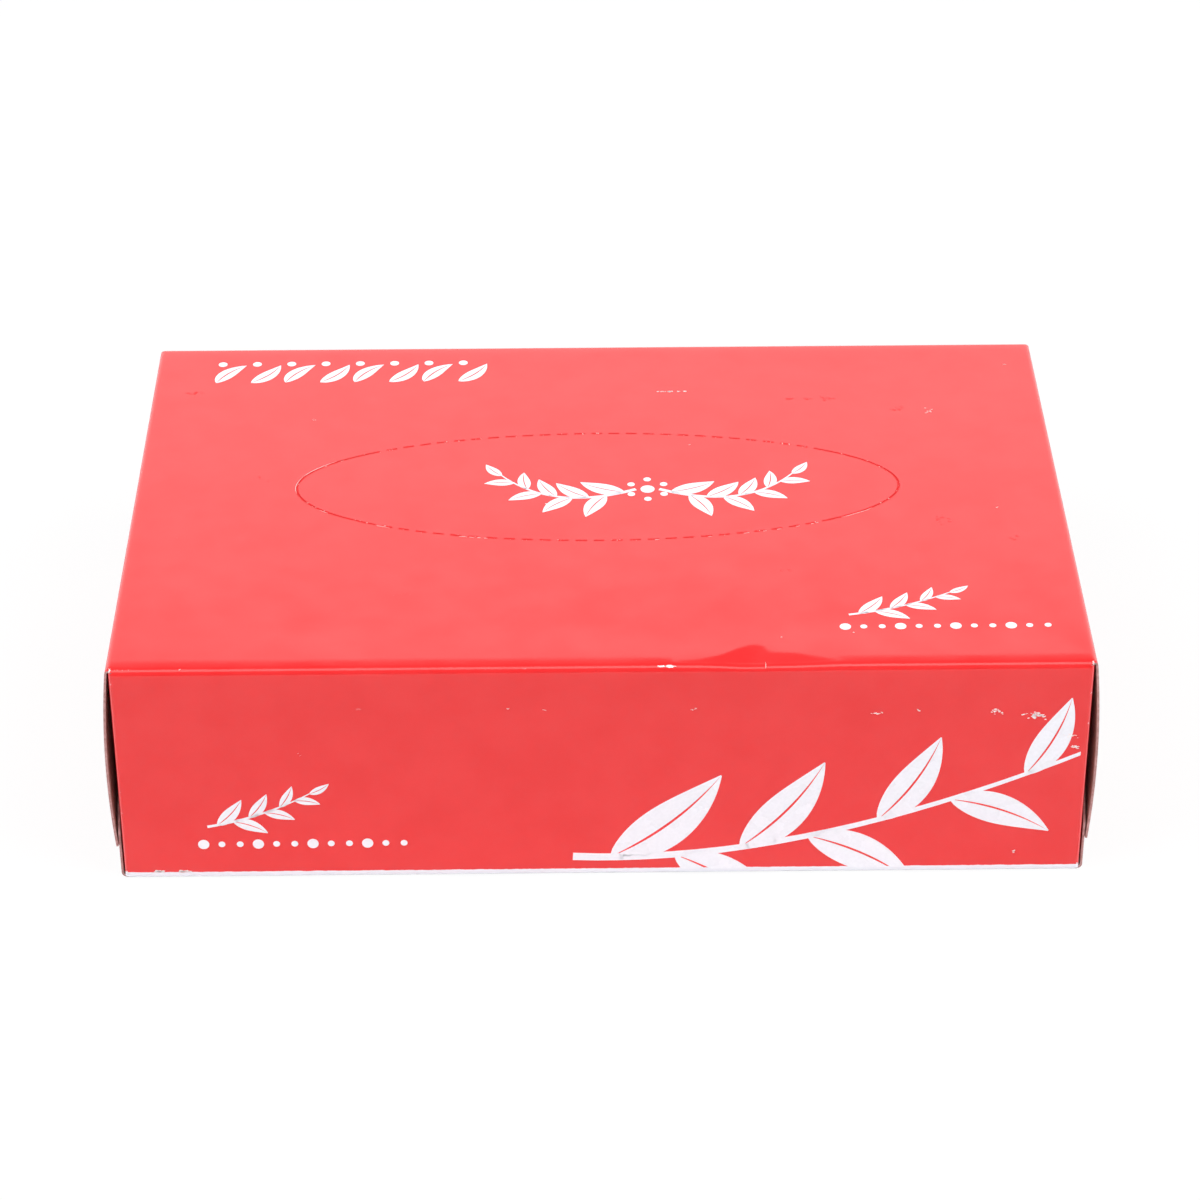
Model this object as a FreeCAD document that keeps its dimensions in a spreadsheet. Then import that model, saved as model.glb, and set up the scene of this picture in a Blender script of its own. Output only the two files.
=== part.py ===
"""A sealed flat tissue box of folded, glued paperboard, as one solid in millimetres.

X runs along the box, Y from the front panel to the back panel and Z up. The origin
is the middle of the face that it stands on. The pack can't be seen into, so its
panels and contents are one filled body. At each end a lower flap stands just clear
of the end face and an outer flap bows out over it, both at their real board
thickness. The top panel has the oval tear-out, cut right through the board in
dashes that leave it hanging on small uncut nicks.
"""

import FreeCAD, Part
import math
import os
import Sketcher
from FreeCAD import Placement, Rotation, Vector

NODE = "tissue_box"
PARTS_FOLDER = "parts"

SIZES = {
    "box_length": 195.0,  # between the end faces, without the bowed flaps
    "box_depth": 131.0,  # front panel to back panel
    "box_height": 51.3,
    "board": 0.45,  # thickness of the paperboard
    "fold_radius": 1.6,  # outside radius of the four long folds
    "end_radius": 0.9,  # outside radius of the folds round each end face
    "seam_height": 1.5,  # raw edge of the back panel above the base
    "flap_root": 3.0,  # how far a flap's section reaches into the body it folds from
    "flap_fold_radius": 1.2,  # outside radius of the folds that the flaps hang on
    "fold_setback": 0.45,  # middle of the outer flap's fold behind the end face
    "bow": 2.1,  # how far the outer flap stands out from the end face
    "toe_height": 8.0,  # the outer flap's free edge above the base
    "toe_clearance": 0.1,  # outer flap's free edge to lower flap
    "outer_flap_inset": 0.6,  # flap side to panel, at front and back
    "lower_flap_rise": 33.0,
    "lower_flap_inset": 1.0,
    "lower_flap_gap": 0.35,  # lower flap to end face
    "oval_length": 128.0,
    "oval_width": 44.0,
    "oval_setback": 4.0,  # middle of the oval behind the middle of the top panel
    "cut_width": 0.3,
    "dash_pitch": 3.8,  # one dash and one nick along the oval
    "nick_length": 1.4,  # board left uncut between two dashes
    "whole_cut_angle": 43.0,  # each tip of the oval is cut without nicks up to here
}

CUT_MARGIN = 2.0  # how far a cut starts outside what it trims

# Numbers that a sketch constraint gives to the horizontal axis and an edge's points
ON_AXIS = -1
START, END, CENTRE = 1, 2, 3


def make_sheet(doc):
    """Returns the sheet that holds the driving sizes, each under its alias."""
    sheet = doc.addObject("Spreadsheet::Sheet", "Sizes")
    for row, (alias, value) in enumerate(SIZES.items(), start=1):
        sheet.set(f"A{row}", alias.replace("_", " "))
        sheet.set(f"B{row}", str(value))
        sheet.setAlias(f"B{row}", alias)
    doc.recompute()
    return sheet


def origin_plane(body, role):
    """Returns the body's own origin plane with that role."""
    for feature in body.Origin.OriginFeatures:
        if feature.Role == role:
            return feature
    raise ValueError(f"no origin plane {role}")


def new_sketch(body, name, role):
    """Returns an empty sketch on one of the body's origin planes."""
    sketch = body.newObject("Sketcher::SketchObject", name)
    sketch.AttachmentSupport = [(origin_plane(body, role), "")]
    sketch.MapMode = "FlatFace"
    return sketch


def constrain(sketch, kind, *where):
    """Adds one constraint with no size of its own."""
    sketch.addConstraint(Sketcher.Constraint(kind, *where))


def drive(sketch, name, expression, kind, *where):
    """Adds one sized constraint and binds it to an expression of the sheet's cells."""
    index = sketch.addConstraint(Sketcher.Constraint(kind, *where))
    sketch.renameConstraint(index, name)
    sketch.setExpression(f"Constraints.{name}", expression)


def add_line(sketch, start, end):
    """Adds a line between two points given as (x, y) and returns its number."""
    return sketch.addGeometry(Part.LineSegment(Vector(*start, 0), Vector(*end, 0)))


def add_arc(sketch, centre, radius, start_deg, end_deg):
    """Adds an anticlockwise arc and returns its number."""
    circle = Part.Circle(Vector(*centre, 0), Vector(0, 0, 1), radius)
    return sketch.addGeometry(
        Part.ArcOfCircle(circle, math.radians(start_deg), math.radians(end_deg))
    )


def join_ends(sketch, kind, loop):
    """Ties each edge's end to the start of the next, round the loop."""
    for first, second in zip(loop, loop[1:] + loop[:1]):
        constrain(sketch, kind, first, END, second, START)


def add_prism(body, kind, name, sketch, expression):
    """Adds a pad or pocket that runs to both sides of its sketch and returns it."""
    prism = body.newObject(kind, name)
    prism.Profile = sketch
    prism.SideType = "Symmetric"
    prism.setExpression("Length", expression)
    return prism


def draw_frame(sketch, name, sides, fold=None):
    """Draws an upright rectangle, rounded at its corners where a fold is given.

    The sides are base, right, top and left, each a place and the expression of its
    distance from the axis, or None on the axis. A fold is a radius and its expression.
    """
    low, right, high, left = (place for place, _ in sides)
    radius = fold[0] if fold else 0
    lines = [
        add_line(sketch, (left + radius, low), (right - radius, low)),
        add_line(sketch, (right, low + radius), (right, high - radius)),
        add_line(sketch, (right - radius, high), (left + radius, high)),
        add_line(sketch, (left, high - radius), (left, low + radius)),
    ]
    if fold:
        centres = (
            (right - radius, low + radius), (right - radius, high - radius),
            (left + radius, high - radius), (left + radius, low + radius),
        )
        arcs = [
            add_arc(sketch, centre, radius, start, start + 90)
            for centre, start in zip(centres, (270, 0, 90, 180))
        ]
        join_ends(sketch, "Tangent", [edge for pair in zip(lines, arcs) for edge in pair])
        for arc in arcs[1:]:
            constrain(sketch, "Equal", arc, arcs[0])
        drive(sketch, f"{name}_fold", fold[1], "Radius", arcs[0], radius)
    else:
        join_ends(sketch, "Coincident", lines)
    names, kinds = ("low", "right", "high", "left"), ("DistanceY", "DistanceX") * 2
    for side, kind, line, (place, expression) in zip(names, kinds, lines, sides):
        constrain(sketch, "Horizontal" if kind == "DistanceY" else "Vertical", line)
        if expression is None:
            constrain(sketch, "PointOnObject", line, START, ON_AXIS)
            continue
        ends = (line, START, ON_AXIS, START) if place < 0 else (ON_AXIS, START, line, START)
        drive(sketch, f"{name}_{side}", expression, kind, *ends, abs(place))


def end_section(sheet):
    """Returns the sides and the fold of the outline that the box shows at its ends."""
    half = sheet.box_depth / 2
    sides = (
        (0, None), (half, "Sizes.box_depth / 2"),
        (sheet.box_height, "Sizes.box_height"), (-half, "Sizes.box_depth / 2"),
    )
    return sides, (sheet.fold_radius, "Sizes.fold_radius")


def add_wrapped_panels(body, sheet):
    """Pads the section of front, top, back and base panels along the box."""
    sketch = new_sketch(body, "panel_section", "YZ_Plane")
    draw_frame(sketch, "panels", *end_section(sheet))
    return add_prism(body, "PartDesign::Pad", "wrapped_panels", sketch, "Sizes.box_length")


def cut_around(body, name, role, outline, expression):
    """Cuts off what lies outside an outline, over a length to both sides of its plane."""
    sides, fold = outline
    sketch = new_sketch(body, f"{name}_outline", role)
    draw_frame(sketch, "kept", sides, fold)
    draw_frame(sketch, "cut", [
        (place + outward * CUT_MARGIN, f"{distance or 0} + {CUT_MARGIN}")
        for outward, (place, distance) in zip((-1, 1, 1, -1), sides)
    ])
    return add_prism(body, "PartDesign::Pocket", name, sketch, expression)


def round_end_folds(body, sheet):
    """Rounds the edges of both end faces, where the dust flaps and end panels fold."""
    end, half = sheet.box_length / 2, sheet.box_depth / 2
    fold = (sheet.end_radius, "Sizes.end_radius")
    right, left = (end, "Sizes.box_length / 2"), (-end, "Sizes.box_length / 2")
    plan = (-half, "Sizes.box_depth / 2"), right, (half, "Sizes.box_depth / 2"), left
    side_view = (0, None), right, (sheet.box_height, "Sizes.box_height"), left
    cut_around(body, "dust_flap_folds", "XY_Plane", (plan, fold), "2 * Sizes.box_height")
    cut_around(body, "end_edge_folds", "XZ_Plane", (side_view, fold), "Sizes.box_depth")


def bow_circle(sheet):
    """Returns the middle (x, z) and the outer radius of the outer flap's bow.

    The circle passes through the flap's toe, stands out from the end face by the bow
    and touches the fold's own circle from outside. Half chords from its outermost
    line down to the toe and up to the fold add up to the height between those two,
    which gives a quadratic for the radius.
    """
    end, fold = sheet.box_length / 2, sheet.flap_fold_radius
    toe_sag = sheet.bow - sheet.lower_flap_gap - 2 * sheet.board - sheet.toe_clearance
    fold_sag = sheet.bow + sheet.fold_setback
    height = sheet.box_height - fold - sheet.toe_height
    spread = 2 * (fold_sag - fold - toe_sag)
    offset = height**2 + toe_sag**2 + fold**2 - fold_sag**2
    slope = 8 * height**2 * (fold_sag - fold) - 2 * offset * spread
    constant = offset**2 + 4 * height**2 * (fold_sag**2 - fold**2)
    radius = 2 * constant / (slope + math.sqrt(slope**2 - 4 * spread**2 * constant))
    rise = math.sqrt(2 * radius * toe_sag - toe_sag**2)
    return end + sheet.bow - radius, sheet.toe_height + rise, radius


def add_outer_flap(body, sheet):
    """Pads the bowed flap that folds down from the top panel over the +X end."""
    end, height, board = sheet.box_length / 2, sheet.box_height, sheet.board
    bow_x, bow_z, bow_radius = bow_circle(sheet)
    fold, outermost = sheet.flap_fold_radius, end + sheet.bow
    fold_x, fold_z = end - sheet.fold_setback, height - sheet.flap_fold_radius
    turn = math.degrees(math.atan2(fold_z - bow_z, fold_x - bow_x))
    toe = math.degrees(math.asin((sheet.toe_height - bow_z) / bow_radius))
    toe_x = end + sheet.lower_flap_gap + board + sheet.toe_clearance
    root = end - sheet.flap_root

    def on_bow(radius, angle):
        along = math.radians(angle)
        return (bow_x + radius * math.cos(along), bow_z + radius * math.sin(along))

    sketch = new_sketch(body, "outer_flap_section", "XZ_Plane")
    top = add_line(sketch, (root, height), (fold_x, height))
    fold_out = add_arc(sketch, (fold_x, fold_z), fold, turn, 90)
    bow_out = add_arc(sketch, (bow_x, bow_z), bow_radius, toe, turn)
    free_edge = add_line(sketch, on_bow(bow_radius, toe), on_bow(bow_radius - board, toe))
    bow_in = add_arc(sketch, (bow_x, bow_z), bow_radius - board, toe, turn)
    fold_in = add_arc(sketch, (fold_x, fold_z), fold - board, turn, 90)
    under = add_line(sketch, (fold_x, height - board), (root, height - board))
    back = add_line(sketch, (root, height - board), (root, height))
    limit = add_line(sketch, (outermost, 0), (outermost, height))
    sketch.setConstruction(limit, True)
    constrain(sketch, "Tangent", top, END, fold_out, END)
    constrain(sketch, "Tangent", fold_out, START, bow_out, END)
    constrain(sketch, "Coincident", bow_out, START, free_edge, START)
    constrain(sketch, "Coincident", free_edge, END, bow_in, START)
    constrain(sketch, "Tangent", bow_in, END, fold_in, START)
    constrain(sketch, "Tangent", fold_in, END, under, START)
    constrain(sketch, "Coincident", under, END, back, START)
    constrain(sketch, "Coincident", back, END, top, START)
    constrain(sketch, "Horizontal", top)
    constrain(sketch, "Horizontal", under)
    constrain(sketch, "Vertical", back)
    constrain(sketch, "Vertical", limit)
    constrain(sketch, "Tangent", limit, bow_out)
    constrain(sketch, "PointOnObject", limit, START, ON_AXIS)
    constrain(sketch, "Coincident", fold_in, CENTRE, fold_out, CENTRE)
    constrain(sketch, "Coincident", bow_in, CENTRE, bow_out, CENTRE)
    constrain(sketch, "PointOnObject", bow_out, CENTRE, free_edge)
    drive(sketch, "limit_height", "Sizes.box_height",
          "DistanceY", limit, START, limit, END, height)
    drive(sketch, "top", "Sizes.box_height",
          "DistanceY", ON_AXIS, START, top, START, height)
    drive(sketch, "root", "Sizes.box_length / 2 - Sizes.flap_root",
          "DistanceX", ON_AXIS, START, top, START, root)
    drive(sketch, "thickness", "Sizes.board",
          "DistanceY", back, START, back, END, board)
    drive(sketch, "fold", "Sizes.flap_fold_radius", "Radius", fold_out, fold)
    drive(sketch, "fold_middle", "Sizes.box_length / 2 - Sizes.fold_setback",
          "DistanceX", ON_AXIS, START, fold_out, CENTRE, fold_x)
    drive(sketch, "outermost", "Sizes.box_length / 2 + Sizes.bow",
          "DistanceX", ON_AXIS, START, limit, START, outermost)
    drive(sketch, "toe_level", "Sizes.toe_height",
          "DistanceY", ON_AXIS, START, bow_out, START, sheet.toe_height)
    drive(sketch, "toe_inside",
          "Sizes.box_length / 2 + Sizes.lower_flap_gap + Sizes.board + Sizes.toe_clearance",
          "DistanceX", ON_AXIS, START, free_edge, END, toe_x)
    return add_prism(body, "PartDesign::Pad", "outer_flap", sketch,
                     "Sizes.box_depth - 2 * Sizes.outer_flap_inset")


def add_lower_flap(body, sheet):
    """Pads the flap that folds up from the base panel, under the outer flap's toe."""
    end, board, fold = sheet.box_length / 2, sheet.board, sheet.flap_fold_radius
    inside = end + sheet.lower_flap_gap
    outside, rise = inside + board, sheet.lower_flap_rise
    fold_x, root = outside - fold, end - sheet.flap_root
    sketch = new_sketch(body, "lower_flap_section", "XZ_Plane")
    under = add_line(sketch, (root, 0), (fold_x, 0))
    fold_out = add_arc(sketch, (fold_x, fold), fold, 270, 360)
    outer_face = add_line(sketch, (outside, fold), (outside, rise))
    free_edge = add_line(sketch, (outside, rise), (inside, rise))
    inner_face = add_line(sketch, (inside, rise), (inside, fold))
    fold_in = add_arc(sketch, (fold_x, fold), fold - board, 270, 360)
    over = add_line(sketch, (fold_x, board), (root, board))
    back = add_line(sketch, (root, board), (root, 0))
    constrain(sketch, "Tangent", under, END, fold_out, START)
    constrain(sketch, "Tangent", fold_out, END, outer_face, START)
    constrain(sketch, "Coincident", outer_face, END, free_edge, START)
    constrain(sketch, "Coincident", free_edge, END, inner_face, START)
    constrain(sketch, "Tangent", inner_face, END, fold_in, END)
    constrain(sketch, "Tangent", fold_in, START, over, START)
    constrain(sketch, "Coincident", over, END, back, START)
    constrain(sketch, "Coincident", back, END, under, START)
    constrain(sketch, "PointOnObject", under, START, ON_AXIS)
    for level in (under, free_edge, over):
        constrain(sketch, "Horizontal", level)
    for upright in (outer_face, inner_face, back):
        constrain(sketch, "Vertical", upright)
    constrain(sketch, "Coincident", fold_in, CENTRE, fold_out, CENTRE)
    drive(sketch, "fold", "Sizes.flap_fold_radius", "Radius", fold_out, fold)
    drive(sketch, "thickness", "Sizes.board",
          "DistanceX", free_edge, END, free_edge, START, board)
    drive(sketch, "inside", "Sizes.box_length / 2 + Sizes.lower_flap_gap",
          "DistanceX", ON_AXIS, START, free_edge, END, inside)
    drive(sketch, "rise", "Sizes.lower_flap_rise",
          "DistanceY", ON_AXIS, START, free_edge, START, rise)
    drive(sketch, "root", "Sizes.box_length / 2 - Sizes.flap_root",
          "DistanceX", ON_AXIS, START, under, START, root)
    return add_prism(body, "PartDesign::Pad", "lower_flap", sketch,
                     "Sizes.box_depth - 2 * Sizes.lower_flap_inset")


def mirror_flaps(body, flaps):
    """Repeats the flaps at the -X end."""
    mirror = body.newObject("PartDesign::Mirrored", "far_end_flaps")
    mirror.Originals = flaps
    mirror.MirrorPlane = (origin_plane(body, "YZ_Plane"), [""])
    body.Tip = mirror


def cut_seam(body, sheet):
    """Cuts the step of the glued seam, where the back panel's raw edge ends."""
    half, board = sheet.box_depth / 2, sheet.board
    sketch = new_sketch(body, "seam_section", "YZ_Plane")
    draw_frame(sketch, "step", (
        (-board, "Sizes.board"), (half + board, "Sizes.box_depth / 2 + Sizes.board"),
        (sheet.seam_height, "Sizes.seam_height"),
        (half - board, "Sizes.box_depth / 2 - Sizes.board"),
    ))
    return add_prism(body, "PartDesign::Pocket", "glued_seam", sketch,
                     f"Sizes.box_length + 2 * {CUT_MARGIN}")


def oval_face(sheet, offset):
    """Returns the flat oval, grown outwards by an offset, at the depth of the cut."""
    centre = Vector(0, sheet.oval_setback, sheet.box_height - sheet.board)
    oval = Part.Ellipse(centre, sheet.oval_length / 2 + offset, sheet.oval_width / 2 + offset)
    return Part.Face(Part.Wire(oval.toShape()))


def nick_blocks(sheet):
    """Returns a block for each nick, spaced evenly along the oval's two long sides."""
    centre = Vector(0, sheet.oval_setback, sheet.box_height - sheet.board)
    oval = Part.Ellipse(centre, sheet.oval_length / 2, sheet.oval_width / 2)
    corner = Vector(-sheet.nick_length / 2, -CUT_MARGIN, -CUT_MARGIN)
    blocks = []
    for side in (0, 180):
        first = math.radians(side + sheet.whole_cut_angle)
        last = math.radians(side + 180 - sheet.whole_cut_angle)
        stretch = Part.ArcOfEllipse(oval, first, last).toShape()
        dashes = max(1, round((stretch.Length - sheet.nick_length) / sheet.dash_pitch))
        pitch = (stretch.Length - sheet.nick_length) / dashes
        for number in range(dashes + 1):
            at = stretch.getParameterByLength(sheet.nick_length / 2 + number * pitch)
            turn = Rotation(Vector(1, 0, 0), stretch.tangentAt(at))
            block = Part.makeBox(sheet.nick_length, 2 * CUT_MARGIN, 2 * CUT_MARGIN, corner)
            block.Placement = Placement(stretch.valueAt(at), turn)
            blocks.append(block)
    return blocks


def make_perforation(doc, sheet):
    """Returns the shape of the dashed cut, as deep as the board and open at the top."""
    half = sheet.cut_width / 2
    ring = oval_face(sheet, half).cut(oval_face(sheet, -half))
    ring = ring.extrude(Vector(0, 0, CUT_MARGIN))
    perforation = doc.addObject("Part::Feature", "perforation")
    perforation.Shape = ring.cut(Part.makeCompound(nick_blocks(sheet)))
    return perforation


def make_tissue_box(doc, sheet):
    """Builds the folded body, cuts the perforation and returns the finished object.

    The end folds are rounded before the flaps are added, so that only the box itself
    loses its edges. The flaps' corners are then trimmed to the box's own long folds.
    """
    body = doc.addObject("PartDesign::Body", "folded_board")
    add_wrapped_panels(body, sheet)
    round_end_folds(body, sheet)
    mirror_flaps(body, [add_outer_flap(body, sheet), add_lower_flap(body, sheet)])
    cut_around(body, "flap_corners", "YZ_Plane", end_section(sheet),
               f"Sizes.box_length + 2 * Sizes.bow + 2 * {CUT_MARGIN}")
    body.Tip = cut_seam(body, sheet)
    doc.recompute()
    box = doc.addObject("Part::Cut", "perforated_box")
    box.Base = body
    box.Tool = make_perforation(doc, sheet)
    box.Label = NODE
    box.Placement = Placement()
    doc.recompute()
    return box


def check(doc, box):
    """Raises if any object failed to build or the finished shape isn't one solid."""
    for item in doc.Objects:
        if "Invalid" in item.State or "Error" in item.State:
            raise RuntimeError(f"{item.Label} is {item.State}")
    if box.Shape.isNull() or not box.Shape.isValid():
        raise RuntimeError(f"{box.Label} has no valid shape")
    if len(box.Shape.Solids) != 1:
        raise RuntimeError(f"{box.Label} is {len(box.Shape.Solids)} solids, and not one")


def main():
    doc = FreeCAD.newDocument("TissueBox")
    box = make_tissue_box(doc, make_sheet(doc))
    check(doc, box)
    os.makedirs(PARTS_FOLDER, exist_ok=True)
    box.Shape.exportStep(os.path.join(PARTS_FOLDER, f"{box.Label}.step"))
    bounds = box.Shape.BoundBox
    print(f"{box.Label}: {bounds.XLength:.2f} x {bounds.YLength:.2f} x {bounds.ZLength:.2f} mm, "
          f"{box.Shape.Volume:.0f} mm3, {len(box.Shape.Faces)} faces")


main()
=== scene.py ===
"""Looks of a sealed flat tissue box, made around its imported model.

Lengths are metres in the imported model's frame: X along the box, Y from the front
panel to the back panel and Z up. The carton is cut flat as one blank of board,
perforated, and then folded round its creases, so that its panels, its flaps and the
print on them all follow the same sheet.
"""

from __future__ import annotations

import cmath
import logging
import math
import sys
from bisect import bisect_right
from dataclasses import dataclass
from enum import Enum, IntEnum
from itertools import accumulate
from random import Random

import bmesh
import bpy
from mathutils import Matrix, Vector, noise


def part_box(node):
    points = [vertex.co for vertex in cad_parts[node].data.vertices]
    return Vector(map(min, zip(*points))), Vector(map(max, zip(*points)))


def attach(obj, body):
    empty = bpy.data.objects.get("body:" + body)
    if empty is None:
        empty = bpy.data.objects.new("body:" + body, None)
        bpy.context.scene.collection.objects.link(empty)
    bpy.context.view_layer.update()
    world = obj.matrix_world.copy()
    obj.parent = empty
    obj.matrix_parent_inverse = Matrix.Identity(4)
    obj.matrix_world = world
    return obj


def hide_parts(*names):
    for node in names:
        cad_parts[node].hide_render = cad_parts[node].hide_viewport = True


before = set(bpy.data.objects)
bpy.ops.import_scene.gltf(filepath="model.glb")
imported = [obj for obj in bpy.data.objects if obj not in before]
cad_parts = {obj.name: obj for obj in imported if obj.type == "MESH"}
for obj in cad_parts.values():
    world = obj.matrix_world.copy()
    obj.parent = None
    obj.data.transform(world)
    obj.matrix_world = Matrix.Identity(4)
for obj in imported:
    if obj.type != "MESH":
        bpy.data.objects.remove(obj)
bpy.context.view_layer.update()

MM = 0.001
TINY = 1e-6
CARTON_NODE = "tissue_box"
BODY = "root"

log = logging.getLogger("tissue_box")

Triple = tuple[float, float, float]
Colour = Triple


class Slot(Enum):
    """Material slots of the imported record."""

    BOARD = "printed_board"
    INK = "white_print"


class Face(Enum):
    """Sides of the board, in the order of the carton's own materials."""

    PRINTED = 0
    INNER = 1
    CUT_EDGE = 2
    PERFORATION = 3


class Part(IntEnum):
    """Stretches of the board round the carton, in order from the glue flap's edge."""

    GLUE_FLAP = 0
    GLUE_FOLD = 1
    BASE = 2
    BASE_FOLD = 3
    FRONT = 4
    FRONT_FOLD = 5
    TOP = 6
    BACK_FOLD = 7
    BACK = 8


def smooth_step(share: float) -> float:
    """Returns a share of 0 to 1 with soft ends."""
    share = min(1.0, max(0.0, share))
    return share * share * (3 - 2 * share)


@dataclass(frozen=True)
class CartonSizes:
    """Sizes of the folded carton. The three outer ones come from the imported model."""

    end: float  # end face from the middle
    half_depth: float
    height: float
    board: float = 0.45 * MM
    fold_radius: float = 1.6 * MM
    glue_fold_radius: float = 1.2 * MM
    glue_flap: float = 12 * MM
    glue_flap_inset: float = 3 * MM
    paste: float = 0.02 * MM
    seam_height: float = 1.5 * MM
    notch_inset: float = 0.35 * MM
    flap_fold_radius: float = 1.2 * MM
    fold_setback: float = 0.45 * MM
    bow: float = 2.1 * MM
    toe_height: float = 8 * MM
    toe_clearance: float = 0.1 * MM
    dust_fold_radius: float = 0.9 * MM
    dust_flap: float = 57 * MM
    dust_shoulder: float = 22 * MM
    dust_corner: float = 0.25
    lower_flap_rise: float = 33 * MM
    lower_flap_gap: float = 0.35 * MM
    lower_flap_shoulder: float = 22 * MM
    lower_flap_corner: float = 0.33
    print_margin: float = 1.9 * MM
    oval_setback: float = 4 * MM

    @classmethod
    def from_frame(cls) -> CartonSizes:
        """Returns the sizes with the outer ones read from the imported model."""
        _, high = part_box(CARTON_NODE)
        return cls(end=high.x - cls.bow, half_depth=high.y, height=high.z)


@dataclass(frozen=True)
class Stretch:
    """A stretch of a crease path: a straight run, or a bend if it has a radius."""

    length: float
    radius: float = 0.0

    @classmethod
    def bend(cls, radius: float, turn: float) -> Stretch:
        """Returns a clockwise bend with that outer radius and turn in radians."""
        return cls(radius * turn, radius)

    def follow(self, start: complex, heading: complex, distance: float) -> tuple[complex, complex]:
        """Returns the place and the outward normal at a distance along the stretch.

        Args:
            start: where the stretch starts.
            heading: unit direction at its start.
            distance: how far along it.

        Returns:
            The place and the unit normal, on the left of the heading.
        """
        if not self.radius:
            return start + distance * heading, 1j * heading
        normal = 1j * heading * cmath.rect(1, -distance / self.radius)
        return start - 1j * self.radius * heading + self.radius * normal, normal


class CreasePath:
    """The line that the board's outer side follows through its runs and bends."""

    def __init__(self, start: complex, heading: complex, stretches: list[Stretch]) -> None:
        """Lays the stretches end to end.

        Args:
            start: where the path starts, as one complex number.
            heading: unit direction at its start.
            stretches: runs and bends in order.
        """
        self.stretches = stretches
        self.starts = [0.0, *accumulate(stretch.length for stretch in stretches)]
        self.marks: list[tuple[complex, complex]] = []
        for stretch in stretches:
            self.marks.append((start, heading))
            start, normal = stretch.follow(start, heading, stretch.length)
            heading = -1j * normal

    def at(self, distance: float) -> tuple[complex, complex]:
        """Finds the place and the outward normal at a distance along the path.

        Args:
            distance: how far along it.

        Returns:
            The place and the unit normal.
        """
        index = min(bisect_right(self.starts, distance), len(self.stretches)) - 1
        index = max(index, 0)
        start, heading = self.marks[index]
        return self.stretches[index].follow(start, heading, distance - self.starts[index])


@dataclass(frozen=True)
class EndFlap:
    """A flap that folds over the box's end from one panel."""

    crease: float  # place along X where its fold starts
    path: CreasePath
    fold_length: float
    run_length: float
    shoulder: float = 0.0  # width over which its sides would taper to nothing
    corner: float = 0.0  # share of its run that its sides keep

    def distance(self, column: int, side: float) -> float:
        """Finds how far past the crease a column of the blank lies.

        Args:
            column: number of the column, from 1 at the crease.
            side: distance of the row from the flap's nearer side.

        Returns:
            The distance on the flat flap.
        """
        if column <= FLAP_FOLD_COLUMNS:
            return self.fold_length * column / FLAP_FOLD_COLUMNS
        share = (column - FLAP_FOLD_COLUMNS) / FLAP_RUN_COLUMNS
        reach = 1.0
        if self.shoulder:
            reach = min(reach, self.corner + max(side, 0.0) / self.shoulder)
        return self.fold_length + self.run_length * reach * share


@dataclass(frozen=True)
class Panel:
    """A flat panel of the carton, with the flaps on its two ends."""

    name: str
    start: float  # distance round the carton where it starts
    length: float
    origin: complex
    heading: complex
    flap: EndFlap
    reach: tuple[float, float]  # distances round the carton between the flaps' sides


# Columns of the blank on each side of its middle
MIDDLE_COLUMNS = 36
MIDDLE_REACH = 84 * MM
EDGE_SHARES = (0.35, 0.62, 0.82, 0.93, 1.0)
FLAP_FOLD_COLUMNS = 6
FLAP_RUN_COLUMNS = 16
PANEL_COLUMNS = MIDDLE_COLUMNS + len(EDGE_SHARES)
ALL_COLUMNS = PANEL_COLUMNS + FLAP_FOLD_COLUMNS + FLAP_RUN_COLUMNS

# Rows of the blank. The top panel has a patch across its middle that holds the oval.
ROW_COUNTS = {
    Part.GLUE_FLAP: 4, Part.GLUE_FOLD: 6, Part.BASE: 34, Part.BASE_FOLD: 8,
    Part.FRONT: 20, Part.FRONT_FOLD: 8, Part.BACK_FOLD: 8, Part.BACK: 18,
}
# Rows of the bends before and after each panel that its flaps take in
FLAP_ROWS = {Part.BASE: (2, 2), Part.FRONT: (3, 3), Part.TOP: (3, 3), Part.BACK: (3, 0)}
ROWS_BEFORE_PATCH = 10
PATCH_ROWS = 41
ROWS_BEHIND_PATCH = 7
PATCH_HALF = 44 * MM

# Finer board: cuts in each edge from the patch's rim to the oval, and round the dent
SPOKE_CUTS = 5
DENT_CUTS = 3
DENT_MARGIN_BEFORE = 2 * MM
DENT_MARGIN_BEHIND = 8 * MM

# Edges that turn by more than this many degrees are drawn sharp
SHARP_DEGREES = 40.0
CARTON_SHARP_DEGREES = 32.0


@dataclass(frozen=True)
class Row:
    """One row of the blank's grid, across the box."""

    station: float  # distance round the carton
    end: float  # where the board ends along X
    panel: Panel | None

    def place(self, column: int) -> float:
        """Finds the flat X of a column.

        Args:
            column: its number, counted from the middle of the blank.

        Returns:
            Its place along X.
        """
        number = abs(column)
        if number <= MIDDLE_COLUMNS:
            return MIDDLE_REACH * column / MIDDLE_COLUMNS
        if number <= PANEL_COLUMNS:
            end = self.panel.flap.crease if self.panel else self.end
            share = EDGE_SHARES[number - MIDDLE_COLUMNS - 1]
            return math.copysign(MIDDLE_REACH + (end - MIDDLE_REACH) * share, column)
        if not self.panel:
            return math.copysign(self.end, column)
        low, high = self.panel.reach
        side = min(self.station - low, high - self.station)
        flap = self.panel.flap
        return math.copysign(flap.crease + flap.distance(number - PANEL_COLUMNS, side), column)


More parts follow.
